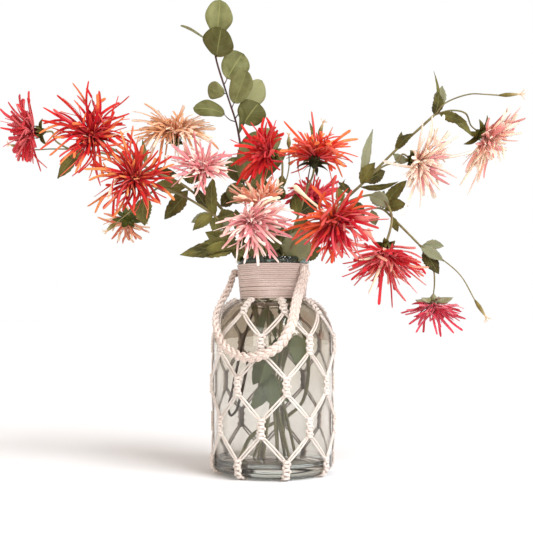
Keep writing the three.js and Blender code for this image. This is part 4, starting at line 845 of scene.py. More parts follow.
# Each stem: its runs, its leaves, and the leaves that stand inside the jar or fill the dark heart of the
# arrangement, which take darker greens as painted shade unless their tone is given. A run gives its radius,
# what it ends in and its places, x,y,z, where a height of 0 is the jar's floor and the last place of a bud is
# its tip. A leaf gives its kind, its foot and tip as x,z, how much further back its tip is, its width, how
# far it is rolled, and for some its tone.
STEMS = {
    "stem_left_far": (
        """2 bloom_02 36,36,0 12,22,115 -18,8,205 -34,0,262 -42,-1,318 -62,0,348 -93,4,392 -133,6,430
            -185,6,455 -209,2,467 -238,-20,481; 1.5 bloom_01 -209,2,467 -257,4,479 -305,4,485 -326,-3,497;
        1 bud -305,4,485 -337,14,487 -362,20,487 -382,20,490 -398,20,494""",
        """small -290,480 -326,442 10 22 20 0.6; leaf -280,482 -306,470 -14 15 -30;
        small -192,460 -198,501 8 9 35; small -196,460 -214,482 16 14 -25; leaf -182,456 -146,450 12 16 30;
        small -184,456 -203,439 12 14 10; leaf -130,428 -182,433 16 20 -20; leaf -128,423 -165,381 14 24 15;
        leaf -94,392 -118,431 -2 15 10; small -92,390 -124,376 12 14 -20""", ""),
    "stem_left_near": (
        """2 bloom_03 25,20,0 2,7,115 -20,-7,205 -30,-14,262 -36,-18,318 -55,-22,346 -87,-26,382 -112,-28,399
            -137,-34,412 -166,-50,420; 1.3 bloom_06 -166,-50,420 -186,-36,408 -202,-26,394;
        1 bud -194,-31,401 -214,-38,382 -229,-42,369 -241,-44,359""",
        """leaf -186,410 -188,366 4 26 20 0.66; leaf -84,380 -86,438 -12 18 -25 0.5;
        leaf -80,376 -54,384 -16 20 20; leaf -86,380 -84,352 -12 18 -20; small -78,372 -48,366 -26 7 40;
        leaf -90,384 -117,358 -14 18 15 0.7; leaf -52,340 -99,356 -20 26 -15 0.3;
        leaf -50,338 -135,322 -30 26 12 0.4; leaf -46,334 -114,333 -12 17 25""",
        """leaf -52,338 -112,320 -36 20 -20 0.4; leaf -3,140 -34,92 -10 21 12 0.5;
        leaf -34,318 -62,330 -6 20 8; leaf -48,336 -96,322 -34 22 25 0.3;
        leaf -50,338 -100,342 -30 24 -15 0.2"""),
    "stem_left_inner": (
        """1.8 bloom_05 19,44,0 -2,30,130 -19,18,210 -26,10,262 -30,14,318 -46,18,352 -70,18,387 -94,8,414
            -104,-8,430; 1.5 bloom_04 -70,18,387 -99,30,426 -125,42,462 -146,52,488""",
        "leaf -45,352 -58,398 22 20 20; leaf -112,440 -142,453 18 16 -20",
        """leaf -30,318 -40,370 6 28 0; leaf -32,324 -66,346 8 26 12; leaf -60,372 -94,380 12 22 -10;
        leaf -80,400 -58,424 14 20 20"""),
    "stem_centre_back": (
        """1.8 bloom_07 8,51,0 4,38,130 -6,24,210 -10,16,262 -11,14,318 -9,9,356 -2,4,400 12,0,434 14,-8,454;
        1.2 bloom_09 -9,9,356 -11,0,370; 1 bud 5,2,417 17,10,432 24,14,457 24,14,489 24,14,505""",
        "leaf 16,430 8,410 14 18 20; small 13,446 4,428 14 12 -20",
        """leaf -10,332 -34,370 10 27 15; leaf -9,350 20,380 16 26 -20; leaf -6,372 -30,402 12 22 10;
        leaf -9,252 4,196 6 12 -40 0.2; leaf -10,300 -34,334 8 26 10; leaf -4,178 -30,128 10 26 20 0.55;
        small 2,140 24,100 12 18 -15; leaf -11,322 -22,374 4 30 5; leaf -10,326 8,368 8 30 -8"""),
    "stem_front": (
        "1.8 bloom_08 7,2,0 -1,-12,130 -6,-26,210 -8,-33,262 -11,-39,314 -20,-58,342 -29,-82,358", "",
        """leaf -12,322 -46,336 2 24 25; leaf -7,250 -20,190 2 12 40 0.1; leaf -1,150 8,94 -4 24 15;
        small -4,175 -20,132 -8 15 -20"""),
    "stem_centre_right": (
        """1.8 bloom_10 18,62,0 16,48,130 13,35,210 12,28,262 14,30,318 25,36,354 40,38,390 51,34,424
            61,24,449; 1.3 bloom_11 25,36,354 41,56,378 55,68,395;
        1 bud 51,34,424 58,52,464 68,62,496 72,64,516 78,64,534""",
        "small 58,468 57,543 22 8 20; leaf 39,387 34,424 10 18 -20",
        """leaf 16,325 30,372 6 30 5; leaf 14,318 -2,356 12 28 10; leaf 16,334 42,362 12 28 -10;
        leaf 12,262 28,214 6 26 -15; leaf 30,365 64,376 18 24 15; leaf 40,392 72,408 12 20 10;
        leaf 13,205 4,150 14 26 10"""),
    "stem_front_right": (
        "1.8 bloom_12 -15,8,0 0,-7,130 10,-20,210 14,-27,262 18,-34,314 36,-56,346 62,-84,358",
        "leaf 22,326 52,356 26 27 -15", "leaf 8,312 44,360 -14 40 10 0.845"),
    "stem_right_far": (
        """2 bare -50,28,0 -33,52,48 25,68,78 47,62,100 56,52,145 50,38,200 32,22,255 34,20,318 57,28,355
            88,24,391 123,14,423 133,12,432 184,8,483 218,6,514 247,6,540;
        1.3 bloom_15 245,6,538 271,12,545 293,22,543;
        1.1 bud 245,6,538 255,2,551 272,0,560 297,0,567 318,2,567 340,4,566 368,6,568;
        1.4 bloom_14 150,10,449 169,8,461 186,4,466""",
        """leaf 243,537 247,569 -10 17 15 0.35; small 248,545 257,583 12 17 -15 0.97;
        small 244,540 243,604 4 7 40; small 250,540 290,524 -12 14 25; small 262,542 300,504 -4 14 -15;
        small 135,434 152,519 12 14 25 0.93; leaf 134,430 153,464 -14 20 -20 0.45;
        leaf 138,436 172,456 20 20 15 0.3; small 132,430 189,436 -10 9 35;
        small 184,483 195,514 10 12 20; small 186,484 210,507 -12 14 -25; small 180,480 208,470 14 12 20;
        leaf 106,406 96,428 -10 15 15; small 98,400 111,444 12 8 -35; small 117,417 100,440 16 14 30""", ""),
    "stem_right_arc": (
        """1.8 bloom_13 -30,27,0 8,13.5,130 28,2,210 33,-6,262 38,-8,318 66,-12,353 92,-12,388 112,-10,404
            133,-10,412 149,-12,414 161,-20,408 170,-30,393 173,-40,376 169,-50,358""",
        "leaf 144,414 172,394 -18 20 20; leaf 114,405 134,376 -10 16 -15; small 172,382 184,358 14 10 20",
        "leaf 42,322 72,336 4 22 12; leaf 20,216 40,156 -14 34 -10 1"),
    "stem_right_low": (
        """1.8 bare -23,11,0 4,-1,130 20,-11,210 27,-19,262 36,-20,318 66,-24,344 99,-16,376 137,0,393
            164,10,396 183,12,380 204,14,360 224,16,340;
        1.2 bloom_16 222,16,342 237,21,324 245,22,304 246,22,280;
        1 bud 222,16,342 257,12,319 284,12,295 305,10,258 319,8,236""",
        """leaf 165,396 204,441 14 18 20; leaf 168,393 203,399 -10 20 -20; small 162,396 170,426 16 11 30;
        small 148,394 156,372 14 14 15; small 224,341 262,341 14 14 25 0.97;
        leaf 224,340 257,316 -10 17 -15 0.92; leaf 228,334 250,297 -12 20 10""", ""),
    "eucalyptus_branch": (
        """2 bare -36,16,180 -41,20,149 -50,28,110 -58,34,87 -66,40,81 -70,43.2,92 -64,46,118 -50,40,179
            -36,32,228 -26,25,262 -28,28,318 -38,34,373 -44,38,428 -48,42,480 -52,42,510 -57,42,534
            -72,42,580 -88,44,633 -90,45,652""",
        """round -88,668 -81,719 -14 40 15 0.72; round -83,632 -78,673 -26 49 -20 0.08;
        round -96,655 -145,691 24 20 78 0; round -66,596 -47,645 18 43 20 0.28;
        round -55,556 -40,609 -20 36 -15 0.62; round -40,545 -17,604 24 32 25 0.95;
        round -74,577 -101,593 18 25 -25 0.45; round -36,519 -22,564 4 44 15 0.02;
        round -76,528 -122,552 -14 30 20 0.16; round -55,515 -50,553 -18 14 60;
        round -46,466 -16,515 -12 40 -20 0.3; round -45,440 -38,500 -26 26 15 0.5;
        round -44,424 20,494 22 24 -25 0.2; round -44,446 -68,462 14 20 20; round -43,412 -68,432 -16 32 -15;
        round -40,386 -4,424 16 16 20""",
        """round -16,472 8,520 20 38 10 0.35; round -44,436 -64,480 10 34 10 0.1;
        round -42,412 -18,452 14 34 -10 0.15"""),
}


def words(text):
    """The entries of a text, parted by semicolons, with their names, numbers and places."""
    def word(part):
        if part[0].isalpha():
            return part
        numbers = tuple(float(number) for number in part.split(","))
        return numbers if len(numbers) > 1 else numbers[0]

    return [[word(part) for part in entry.split()] for entry in text.split(";") if entry.strip()]


# ---------------------------------------------------------------- stems
STEM, LEAF, SEPAL, BUD, THREAD = range(5)
USUAL_SEPALS = (5, 16, 0)


def head(name):
    """Centre, axis and core radius of a flower head, and how far behind its centre the calyx ends."""
    bloom = BLOOMS[name]
    core = 5.5 if "small" in bloom else 7.5
    return np.array(bloom["at"], float), unit(bloom["face"]), core, core + 0.3


def lobe(shape, root, tip, out, facing, width, tone, rows=9, thick=1.0):
    """A sepal: a thick blade that leaves along out and bends to its tip, with its flat side toward facing."""
    length = np.linalg.norm(tip - root)
    t = np.linspace(0, 1, rows)[:, None]
    line = bent(root, root + unit(out) * length * 0.5, tip, t)
    heads = headings(line)
    side = unit(np.cross(heads, np.broadcast_to(unit(facing), heads.shape)) + 1e-6)
    side = np.where((side * side[:1]).sum(1, keepdims=True) < 0, -side, side)
    up = np.cross(heads, side)
    half = width / 2 * np.maximum(np.sin(pi * np.clip(0.16 + 0.84 * t[:, 0], 0, 1)) ** 0.8, 0.05)
    turn = np.arange(8) * TURN / 8
    fat = thick * (1.05 - t[:, 0]) / 2
    rings = line[:, None] + side[:, None] * (half[:, None] * np.cos(turn))[..., None] \
        + up[:, None] * (fat[:, None] * np.sin(turn) + 0.12 * half[:, None] * np.cos(turn) ** 2)[..., None]
    shape.skin(rings, np.arange(9) / 8, t[:, 0], painted(t, tone, np.sin(turn) < 0), SEPAL)


# how far behind the head each ring of the green cup is, and its radius
CUP = [(9.5, 2.0), (8, 3.0), (5.5, 5.0), (3, 6.0), (0.8, 6.2), (-1.2, 5.2), (-2.4, 3.6)]
BRACTS = 10


def calyx(shape, name, draw):
    """The green cup behind a head, with a star of sepals. Returns the last places of its stem."""
    centre, axis, core, seat = head(name)
    count, usual_reach, flat = BLOOMS[name].get("sepals", USUAL_SEPALS)

    def behind(distance):
        return centre - axis * (seat + distance)

    line = np.array([behind(distance) for distance, _ in CUP])
    _, a, b = carried(line, (0.1, 0.9, 0.3))
    bar(shape, line, [r for _, r in CUP], 14, SEPAL, (0.1, draw.random(), 0, 1), side=(0.1, 0.9, 0.3))
    for k in range(count):
        turn = TURN * (k + 0.5) / count + 0.3
        out = a[0] * cos(turn) + b[0] * sin(turn)
        reach = usual_reach * (0.85 + 0.3 * draw.random())
        tip = behind(reach * (0.25 + 0.2 * draw.random()) * (1 - 0.75 * flat)) + out * reach
        # sepals of a head seen from its side turn more toward the front
        side_on = 1 - abs(axis[1])
        facing = np.array([0, -0.75, 0.65]) if flat else out + axis + np.array([0, -1.6 * side_on, 0])
        width = 4.2 + 3 * flat + 1.8 * draw.random() + 0.16 * reach
        lobe(shape, behind(2.5) + out * 4.6, tip, unit(out + 0.5 * axis), facing, width, draw.random())
    # the short inner bracts that hug the head
    for k in range(BRACTS):
        turn = TURN * k / BRACTS + 0.2
        out = a[0] * cos(turn) + b[0] * sin(turn)
        tip = centre + axis * core * draw.uniform(0.0, 0.35) + out * (core + draw.uniform(0.5, 2.5))
        lobe(shape, behind(1.5) + out * 4.6, tip, unit(out + 0.2 * axis), out + axis, 5.6, 0.9, 7, 0.7)
    return behind(19.8), behind(9)


THREADS = 11


def bud(shape, foot_at, tip, draw):
    """An unopened head: a ribbed spindle with pale threads at its mouth."""
    axis = tip - foot_at
    length = np.linalg.norm(axis)
    t = np.linspace(0, 1.06, 12)
    radii = np.interp(t, [0, 0.12, 0.35, 0.6, 0.85, 1.0, 1.06], [1.1, 1.9, 3.0, 2.9, 2.0, 1.5, 0.9])
    line = foot_at + axis * t[:, None]
    _, a, b = carried(line)
    ribs = 1 + 0.07 * np.cos(8 * (np.arange(16) * TURN / 16))
    rings = line[:, None] + (radii[:, None] * ribs)[..., None] * circle(a, b, 16)
    paint = painted(np.clip(t, 0, 1)[:, None], draw.random(), 0)
    shape.skin(rings, np.arange(17) / 16, t * length, paint, BUD)
    for k in range(THREADS):
        turn = TURN * k / THREADS + draw.random()
        out = a[-1] * cos(turn) + b[-1] * sin(turn)
        end = tip + axis * (0.32 + 0.2 * draw.random()) + out * length * (0.08 + 0.26 * draw.random())
        mid = tip + axis * 0.22 + out * length * 0.06
        thread = smooth([tip + out * 0.7, mid, end], 2.0)
        bar(shape, thread, np.linspace(0.55, 0.28, len(thread)), 6, THREAD, (0.5, draw.random(), 0, 1))


# heights between which a stem grows thinner, and how thick it is at both, to one of the usual
TAPERS = {"stem_right_far": ([230, 300], [1.4, 1]), "eucalyptus_branch": ([300, 500], [1, 0.78])}


def leafy_stem(name, draw):
    runs, leaves, shaded = (words(text) for text in STEMS[name])
    shape = Shape()
    branches = []
    for order, (radius, end, *places) in enumerate(runs):
        places = [(x, y, z if z else floor_at(x, y) + 0.5 * radius + 0.35) for x, y, z in places]
        if end == "bud":
            tip = np.array(places.pop(), float)
        if end in BLOOMS:
            neck, seat = calyx(shape, end, draw)
            places += [seat] if np.linalg.norm(neck - places[-1]) < 12 else [neck, seat]
        line = smooth(places, 3.0)
        far = np.linspace(0, 1, len(line))
        swell = 1 + 0.07 * np.sin(far * len(line) * 0.11 + order) + 0.05 * np.sin(far * len(line) * 0.37)
        radii = radius * swell * (1.06 - 0.12 * far)
        if name in TAPERS:
            radii = radii * np.interp(line[:, 2], *TAPERS[name])
        if end == "bare":
            radii[-4:] = radius * np.array([0.95, 0.85, 0.7, 0.45])
        if order == 0:
            radii[0] *= 0.92
        else:
            radii[:3] = radius * np.array([1.5, 1.25, 1.1])
        bar(shape, line, radii, 12, STEM, (0, 0.2 + 0.6 * draw.random(), 0, 1))
        rods.lay(line[::4], radius)
        if end == "bud":
            foot_at = np.array(places[-1], float)
            bud(shape, foot_at, tip, draw)
            rods.lay([foot_at, tip, tip + (tip - foot_at) * 0.5], 3)
        branches.append(line)
    branches = np.vstack(branches)
    for order, (kind, root, tip, back, width, roll, *tone) in enumerate([*leaves, *shaded]):
        off = np.hypot(branches[:, 0] - root[0], branches[:, 2] - root[1])
        at = branches[off.argmin()]
        place = kind, at, np.array([tip[0], at[1] + back, tip[1]], float), width, roll, float(off.min())
        # the shaded leaves get low tones and so darker greens: painted shade
        usual = draw.random() * (0.35 if order >= len(leaves) else 1)
        blade(shape, *place, draw, *(tone or [usual]))
        for line in leaf_rods(*place):
            rods.lay(line, width / 6 + 0.6)
    return shape


def stem_finish(name, low_hue, high_hue, spot, inside):
    """A stalk with fine ridges along it and darker, redder patches."""
    f = Finish(name, roughness=0.55, specular_ior_level=0.4)
    place = f.place()
    ridge = f.ridges(f.times(f.uv()[1], 8 * pi))
    speck = f.noise(place, 420.0, 2.0, 0.6)
    colour = f.mottled(low_hue, high_hue, f.noise(place, 26.0, 4.0, 0.6))
    colour = f.toward(colour, spot, f.noise(place, 60.0, 3.0, 0.5), 0.48, 0.7, (0.0, 0.8))
    colour = f.toward(colour, spot, speck, 0.45, 0.8, (0.0, 0.35))
    # paler inside the jar: painted light
    colour = f.painted_light_in_jar(colour, "a9ad88", inside)
    return f.done(colour, f.times(ridge, 0.5, speck), 0.5, 0.25, f.span(speck, 0.3, 0.8, (0.45, 0.65)))


def leaf_finish(name, pale, deep, vein, under, veins, gloss, strong):
    """A leaf with a midrib, side veins that run out and forward, mottled greens and a paler underside."""
    f = Finish(name, roughness=gloss, specular_ior_level=0.16, subsurface_weight=0.05, subsurface_scale=0.002)
    place = f.place()
    _, tone, below = f.grow()
    _, across, far = f.uv()
    out = f.off_middle(across)
    lane = f.times(far, veins, f.times(out, -1.4, f.times(f.noise(place, 130.0, 2.0, 0.5), 0.35)))
    line = f.maths("ABSOLUTE", f.maths("SUBTRACT", f.maths("FRACT", lane), 0.5))
    side_vein = f.span(line, 0.01, 0.08, (1.0, 0.0))
    midrib = f.span(out, 0.02, 0.07, (1.0, 0.0))
    net = f.node("TexVoronoi", {"Vector": place, "Scale": 620.0}, feature="DISTANCE_TO_EDGE").outputs[0]
    cells = f.span(net, 0.0, 0.12, (1.0, 0.0))
    patch = f.noise(place, 34.0, 4.0, 0.6)
    colour = f.mottled(pale, deep, patch, 0.34, 0.66)
    colour = f.toward(colour, pale, tone, 0.3, 1.0, (0.0, 0.6))
    # low tones darken toward the deep green; for the shaded leaves this is painted shade
    colour = f.toward(colour, deep, tone, 0.0, 0.4, (0.9, 0.0))
    colour = f.toward(colour, under, tone, 0.8, 0.88, (0.0, 0.75))
    for share, strength in ((side_vein, strong), (cells, 0.12), (midrib, 0.6)):
        colour = f.mix(f.times(share, strength), colour, hue(vein))
    colour = f.toward(colour, under, below, 0.4, 0.6, (0.0, 0.85))
    # paler inside the jar: painted light
    colour = f.painted_light_in_jar(colour, "9cb68e", 0.5)
    height = f.times(side_vein, -0.6, f.times(cells, -0.25, f.times(midrib, -0.7)))
    return f.done(colour, height, 0.6, 0.35, f.span(patch, 0.3, 0.7, (gloss, gloss + 0.2)))


def plain_finish(name, low_hue, high_hue, tip, rough=0.5):
    """A sepal, bud or thread: colour that changes along it, with fine streaks."""
    f = Finish(name, roughness=rough, specular_ior_level=0.15)
    streaks = f.streaks(f.uv()[0], (14.0, 1.2, 1.0), 3.0, 3.0, 0.6)
    colour = f.mottled(low_hue, high_hue, f.noise(f.place(), 90.0, 3.0, 0.6))
    colour = f.toward(colour, tip, f.grow()[0], 0.45, 1.0, (0.0, 0.7))
    colour = f.toward(colour, low_hue, streaks, 0.4, 0.75, (0.0, 0.4))
    return f.done(colour, streaks, 0.4, 0.3)


BUD_LOOKS = [plain_finish("bud_brown", "6b5f30", "8c7a44", "c4b184"),
             plain_finish("thread_cream", "d9b48a", "ecd4ae", "f6e6c8", 0.6)]
SEPAL_GREEN = plain_finish("sepal_green", "33300f", "56521f", "75703a")
SEPAL_LOOKS = {
    "stem_left_near": plain_finish("sepal_olive", "34380f", "4d5218", "5d6028"),
    "stem_right_low": plain_finish("sepal_grey", "7c7a52", "98957a", "aaa68e", 0.55),
    "stem_centre_right": plain_finish("sepal_dark", "1c1a0a", "35331a", "4a4820"),
}
GREENS = [stem_finish("stem_green", "8c8052", "6e6a40", "5f4630", 0.45),
          leaf_finish("leaf_green", "6f6a34", "2c2b12", "847f4c", "8c9078", 6.0, 0.48, 0.35)]
EUCALYPTUS = [stem_finish("stem_maroon", "34100f", "4a1c16", "200809", 0.1),
              leaf_finish("leaf_eucalyptus", "84875a", "47471f", "8f8c56", "8e9068", 4.0, 0.55, 0.16)]

for stem_order, stem_name in enumerate(STEMS):
    sepal_look = SEPAL_LOOKS.get(stem_name, SEPAL_GREEN)
    stem_shape = leafy_stem(stem_name, np.random.default_rng(300 + stem_order))
    if stem_name == "eucalyptus_branch":
        stem_shape.made("branch_round_leaves", [*EUCALYPTUS, sepal_look, *BUD_LOOKS], "eucalyptus", stem_name)
    else:
        new_name = stem_name.replace("stem_", "sprig_")
        stem_shape.made(new_name, [*GREENS, sepal_look, *BUD_LOOKS], "green_stem", stem_name)


# ---------------------------------------------------------------- blooms
def petal_finish(name, core, foot_hue, middle, tip, under, odd, tipped):
    """Petals with a dark foot, coloured tips, paler undersides and some of another hue."""
    f = Finish(name, roughness=0.6, specular_ior_level=0.08, subsurface_weight=0.1, subsurface_scale=0.002)
    along, tone, below = f.grow()
    where, across, _ = f.uv()
    streaks = f.streaks(where, (1.0, 0.05, 1.0), 16.0, 2.0, 0.5)
    patch = f.noise(f.place(), 70.0, 3.0, 0.6)
    colour = f.ramp(along, (0.0, core), (0.1, foot_hue), (0.45, middle), (1.0, middle))
    side = f.times(f.noise(f.place(), 17.0, 1.0, 0.4), 0.8, f.times(tone, -0.5, 0.25))
    oddness = f.times(f.span(side, 0.34, 0.46), f.span(along, 0.12, 0.4, (0.0, 0.75)))
    colour = f.mix(oddness, colour, hue(odd))
    colour = f.toward(colour, under, f.off_middle(across), 0.62, 1.0, (0.0, 0.3))
    start = f.times(tone, -0.55, 1.02)
    reach = f.maths("ADD", along, f.times(patch, 0.3, -0.15))
    share = f.times(f.span(f.maths("SUBTRACT", reach, start), 0.0, 0.22),
                    f.span(tone, 1.0 - tipped - 0.12, 1.0 - tipped + 0.12))
    colour = f.mix(share, colour, hue(tip))
    colour = f.toward(colour, under, below, 0.3, 0.7, (0.0, 0.55))
    colour = f.toward(colour, foot_hue, streaks, 0.4, 0.72, (0.0, 0.3))
    cream = f.times(f.span(tone, 0.985, 0.995), f.span(along, 0.1, 0.55))
    colour = f.mix(cream, colour, hue("f6e0c2"))
    bright = f.span(tone, 0.0, 1.0, (0.88, 1.1))
    changed = f.node("HueSaturation", {"Saturation": 1.0, "Color": colour, "Value": bright})
    return f.done(changed.outputs[0], streaks, 0.45, 0.35)


# a petal's section: how far across it each point is, and 1 for those on its upper side
PETAL_ACROSS = np.array([-1, -0.52, 0, 0.52, 1, 0.52, 0, -0.52])
PETAL_TOP = np.array([1, 1, 1, 1, 1, 0, 0, 0])
PETAL_AROUND = np.array([0, 0.24, 0.5, 0.76, 1, 0.76, 0.5, 0.24, 0])
PETAL_BEND = 0.45


def petal(shape, start, out, tip, axis, width, draw, rows, bow, twist, cup, tone, hook, spoon):
    """A narrow strap, closed and thin, channelled along its length and blunt at its tip."""
    length = float(np.linalg.norm(tip - start))
    t = np.concatenate([np.linspace(0, 0.93, rows - 3), [0.965, 0.988, 1.0]])
    s = t[:, None]
    across = unit(np.cross(tip - start, axis) + 1e-6)
    line = bent(start, start + out * length * PETAL_BEND, tip, s) + across * bow * length * np.sin(pi * s)
    wander = unit(draw.normal(0, 1, 3)) * (0.05 * length * draw.random())
    line = line + wander * np.sin(TURN * s * draw.uniform(0.7, 1.1))
    level = 1 - abs(tip - start)[2] / max(length, 1)
    line = line + np.array([0, 0, 0.1 * length * level * draw.random()]) * np.sin(pi * s)
    if hook:
        curl_way = unit(axis * draw.normal(0, 1) + across * draw.normal(0, 1))
        line = line + curl_way * hook * length * np.clip(s - 0.55, 0, 1) ** 2
    heads = headings(line)
    # the petals of a head seen from its side are rolled more, with their flat sides turned any way
    side_on = 1 - abs(axis[1])
    facing = axis - 0.4 * out + draw.normal(0, 0.75, 3) + np.array([0, -1.1 * side_on, 0])
    normal = unit(facing - heads * (heads @ facing)[:, None])
    side = np.cross(normal, heads)
    across_turn, up_turn = np.cos((twist * t)[:, None]), np.sin((twist * t)[:, None])
    side, normal = side * across_turn + normal * up_turn, normal * across_turn - side * up_turn
    grown = np.interp(t, [0, 0.12, 0.4, 0.75, 0.94, 1], [0.66, 0.74, 1.0, 0.98, spoon, spoon])
    blunt = np.sqrt(np.clip(1 - (np.clip(t - 0.945, 0, 1) / 0.0565) ** 2, 0.03, 1))
    half = width / 2 * grown * blunt
    curl = cup * (1.15 - 0.8 * t)
    thick = 1.2 * (1 - 0.5 * t)
    lift = curl[:, None] * half[:, None] * (PETAL_ACROSS ** 2) \
        - (1 - PETAL_TOP) * thick[:, None] * (1 - 0.3 * np.abs(PETAL_ACROSS))
    narrow = 1 - 0.22 * np.abs(curl)
    rings = line[:, None] + side[:, None] * (half[:, None] * narrow[:, None] * PETAL_ACROSS)[..., None] \
        + normal[:, None] * lift[..., None]
    paint = painted(t[:, None], draw.random() if tone is None else tone, 1 - PETAL_TOP)
    paint[:, 0, 2] = paint[:, 4, 2] = 0.35
    shape.skin(rings, PETAL_AROUND, t, paint)


def petal_line(start, out, tip):
    """The plain course of a petal, for the test of what it would touch."""
    bend = start + out * np.linalg.norm(tip - start) * PETAL_BEND
    return bent(start, bend, tip, np.linspace(0.06, 1, 6)[:, None])


def tip_place(bloom, axis, clock, reach, index):
    """Where an outer petal seen at that clock angle and reach ends, from the middle of the head."""
    turn = radians(clock)
    flat = np.array([cos(turn), 0, sin(turn)]) * reach
    depth = 0.8 * sqrt(max(0, bloom["reach"] ** 2 - reach ** 2))
    way = copysign(1, axis[1]) if abs(axis[1]) > 0.45 else (1 if index % 2 else -1)
    for share in (1, 0.6, 0.3, 0, -0.3, -0.6):
        place = flat + np.array([0, way * depth * share, 0])
        if np.dot(unit(place), axis) > BEHIND:
            return place
    return flat


# rings of shorter petals inside the outer ones: degrees off the axis, share of the reach, how many, width
LAYERS = [(84, 0.86, 26, 3.9), (71, 0.82, 25, 3.9), (58, 0.70, 23, 3.8), (45, 0.58, 20, 3.6),
          (33, 0.46, 16, 3.3), (22, 0.34, 11, 3.0), (11, 0.25, 6, 2.6)]
SMALL_LAYERS = [(80, 0.88, 18, 3.7), (66, 0.80, 16, 3.7), (50, 0.66, 14, 3.5), (33, 0.48, 10, 3.2),
                (16, 0.34, 7, 2.8)]
# layers nearer to the axis than this are the inner ones
INNER_DEGREES = 40
# a petal whose direction along the axis is less than this bends back behind its head
BEHIND = -0.12
# the heads at the back reach no further than this
FURTHEST_BACK = 103
ATTEMPTS = 22


def spider_bloom(name, bloom):
    draw = np.random.default_rng(700 + int(name[-2:]))
    centre, axis, core, _ = head(name)
    shape = Shape()
    others = rods.near(centre, bloom["reach"] * 1.35)
    own = Rods()
    a = unit(np.cross(axis, (0.2, 0.35, 0.9)))
    b = np.cross(axis, a)
    # the core that the petals grow from
    t = np.linspace(0.04, 0.96, 9)
    line = centre + axis * (core * -np.cos(pi * t))[:, None]
    bar(shape, line, core * 0.66 * np.sin(pi * t), 12, side=a)
    laid = []

    def grow(tip, width, rows, spread, sway, cup, twist, hook, tone, spoon=None):
        """One petal, moved until it clears its neighbours. Inner ones, which hook, clear each other too."""
        goal = np.linalg.norm(tip)
        toward = unit(tip)
        if hook:
            goal = goal * (1 - 0.62 * max(0, np.dot(toward, bloom.get("short_side", (0, 0, 0)))))
        if toward[1] > 0:
            goal = min(goal, (FURTHEST_BACK - centre[1]) / toward[1])
        if np.dot(toward, axis) < BEHIND:
            spread = 1.3
        out = unit(toward + axis * spread)
        start = centre + out * core * 0.72
        half = width * 0.5
        for attempt in range(ATTEMPTS):
            shift = draw.uniform(-0.5, 0.5, 3) * 0.05 * attempt
            end = centre + unit(toward + shift) * goal * (1 - 0.011 * attempt)
            path = petal_line(start, out, end)
            if not is_clear(path, half, others, 0.2):
                continue
            if hook and not is_clear(path[2:], half * 0.5, own.near(centre, 1e6), 0.1):
                continue
            petal(shape, start, out, end, axis, width, draw, rows, draw.normal(0, sway),
                  draw.normal(0, twist), cup, tone, hook * draw.normal(0, 1),
                  spoon or (draw.uniform(0.45, 0.9) if draw.random() < 0.62 else draw.uniform(1.0, 1.3)))
            if hook:
                own.lay(path[1:], half * 0.5)
            laid.append((path, half))
            return

    for index, (clock, reach, *marks) in enumerate(words(bloom["tips"])[0]):
        tip = tip_place(bloom, axis, clock, reach, index)
        width = draw.uniform(3.9, 5.1)
        tone, broad = [*marks, None, None][:2]
        usual_tip = width * draw.uniform(0.6, 1.1)
        grow(tip, width, 15, draw.uniform(0.0, 0.45), 0.06, draw.uniform(0.1, 0.9), 0.6, 0.0, tone,
             (broad or usual_tip) / width)
    more, wider, leaning, longer, sweep = bloom.get("habit", (1, 1, 1, 1, (0, 0, 0)))
    for degrees, share, usual, width in (SMALL_LAYERS if "small" in bloom else LAYERS):
        spin = draw.random() * TURN
        count = round(usual * more)
        inner = degrees < INNER_DEGREES
        for k in range(count):
            turn = spin + TURN * (k + draw.uniform(-0.75, 0.75)) / count
            lean = radians((degrees + draw.normal(0, 9)) * leaning)
            toward = axis * cos(lean) + (a * cos(turn) + b * sin(turn)) * sin(lean)
            toward = unit(toward + np.array(sweep) * sin(lean))
            reach = bloom["reach"] * share * longer * draw.uniform(0.66, 1.06)
            tone = None
            if "plain_side" in bloom:
                plain_way, usual_tone = bloom["plain_side"]
                tone = np.clip(usual_tone + 0.5 * np.dot(toward, plain_way) + draw.normal(0, 0.12), 0, 0.97)
            petal_width = width * wider * draw.uniform(0.85, 1.2)
            if inner:
                grow(toward * reach, petal_width, 11, -0.3, 0.09, draw.uniform(0.3, 1.0), 0.9, 0.45, tone)
            else:
                grow(toward * reach, petal_width, 11, draw.uniform(-0.1, 0.6), 0.12, draw.uniform(-0.5, 0.95),
                     0.9, 0.3, tone)
    for path, half in laid:
        rods.lay(path, half * 0.9)
    look = petal_finish("petals_" + name[-2:], *bloom["hues"].split(), bloom["tipped"])
    shape.made("head_" + name[-2:], [look], "petal_" + bloom["slot"], name)


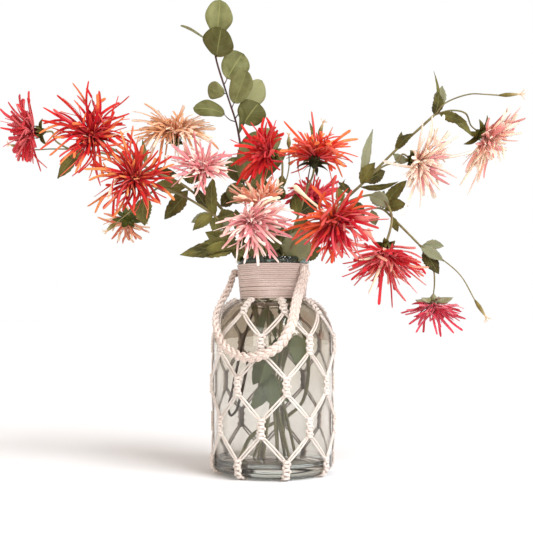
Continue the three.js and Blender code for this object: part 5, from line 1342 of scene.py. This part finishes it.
for bloom_name, bloom_row in BLOOMS.items():
    spider_bloom(bloom_name, bloom_row)


# ---------------------------------------------------------------- floor and light
def pale_floor(half=40.0):
    """A plain floor that reaches half metres each way."""
    mesh = bpy.data.meshes.new("floor")
    corners = [(-half, -half, 0), (half, -half, 0), (half, half, 0), (-half, half, 0)]
    mesh.from_pydata(corners, [], [(0, 1, 2, 3)])
    ground = bpy.data.objects.new("floor", mesh)
    f = Finish("floor_pale", roughness=0.9, specular_ior_level=0.1)
    patch = f.noise(f.place(), 3.0, 2.0, 0.5)
    f.put(f.main.inputs["Base Color"], f.mottled("fafcff", "f8fafd", patch, 0.3, 0.7))
    mesh.materials.append(f.material)
    scene.collection.objects.link(ground)


def lamp(name, kind, aim, power, colour, **settings):
    """A light that shines along aim."""
    data = bpy.data.lights.new(name, kind)
    data.energy, data.color = power, colour
    for key, value in settings.items():
        setattr(data, key, value)
    light = bpy.data.objects.new(name, data)
    light.rotation_euler = Vector(aim).to_track_quat("-Z", "Y").to_euler()
    scene.collection.objects.link(light)
    return light


pale_floor()
# the room is warm and dim on the left and bright on the right, and the light falls from the right
DIM_SIDE, BRIGHT_SIDE, BACKDROP = (0.42, 0.31, 0.22, 1), (0.84, 0.83, 0.82, 1), (1, 1, 1, 1)
world = bpy.data.worlds.new("studio")
world.use_nodes = True
sky = Nodes(world.node_tree)
away = sky.node("SeparateXYZ", {0: sky.node("TexCoord").outputs["Generated"]}).outputs[0]
room = sky.mix(sky.span(away, -1.0, 1.0), DIM_SIDE, BRIGHT_SIDE)
seen = sky.mix(sky.node("LightPath").outputs["Is Camera Ray"], room, BACKDROP)
sky.put(sky.tree.nodes["Background"].inputs["Color"], seen)
scene.world = world
lamp("sun", "SUN", (-1.0, 0.95, -1.05), 2.9, (0.98, 0.99, 1.0), angle=radians(36))
FILL_AT, FILL_AIM = (-0.8, -1.9, 0.8), (0.8, 1.9, -0.5)
lamp("fill", "AREA", FILL_AIM, 15, (1.0, 0.98, 0.96), size=1.2).location = FILL_AT
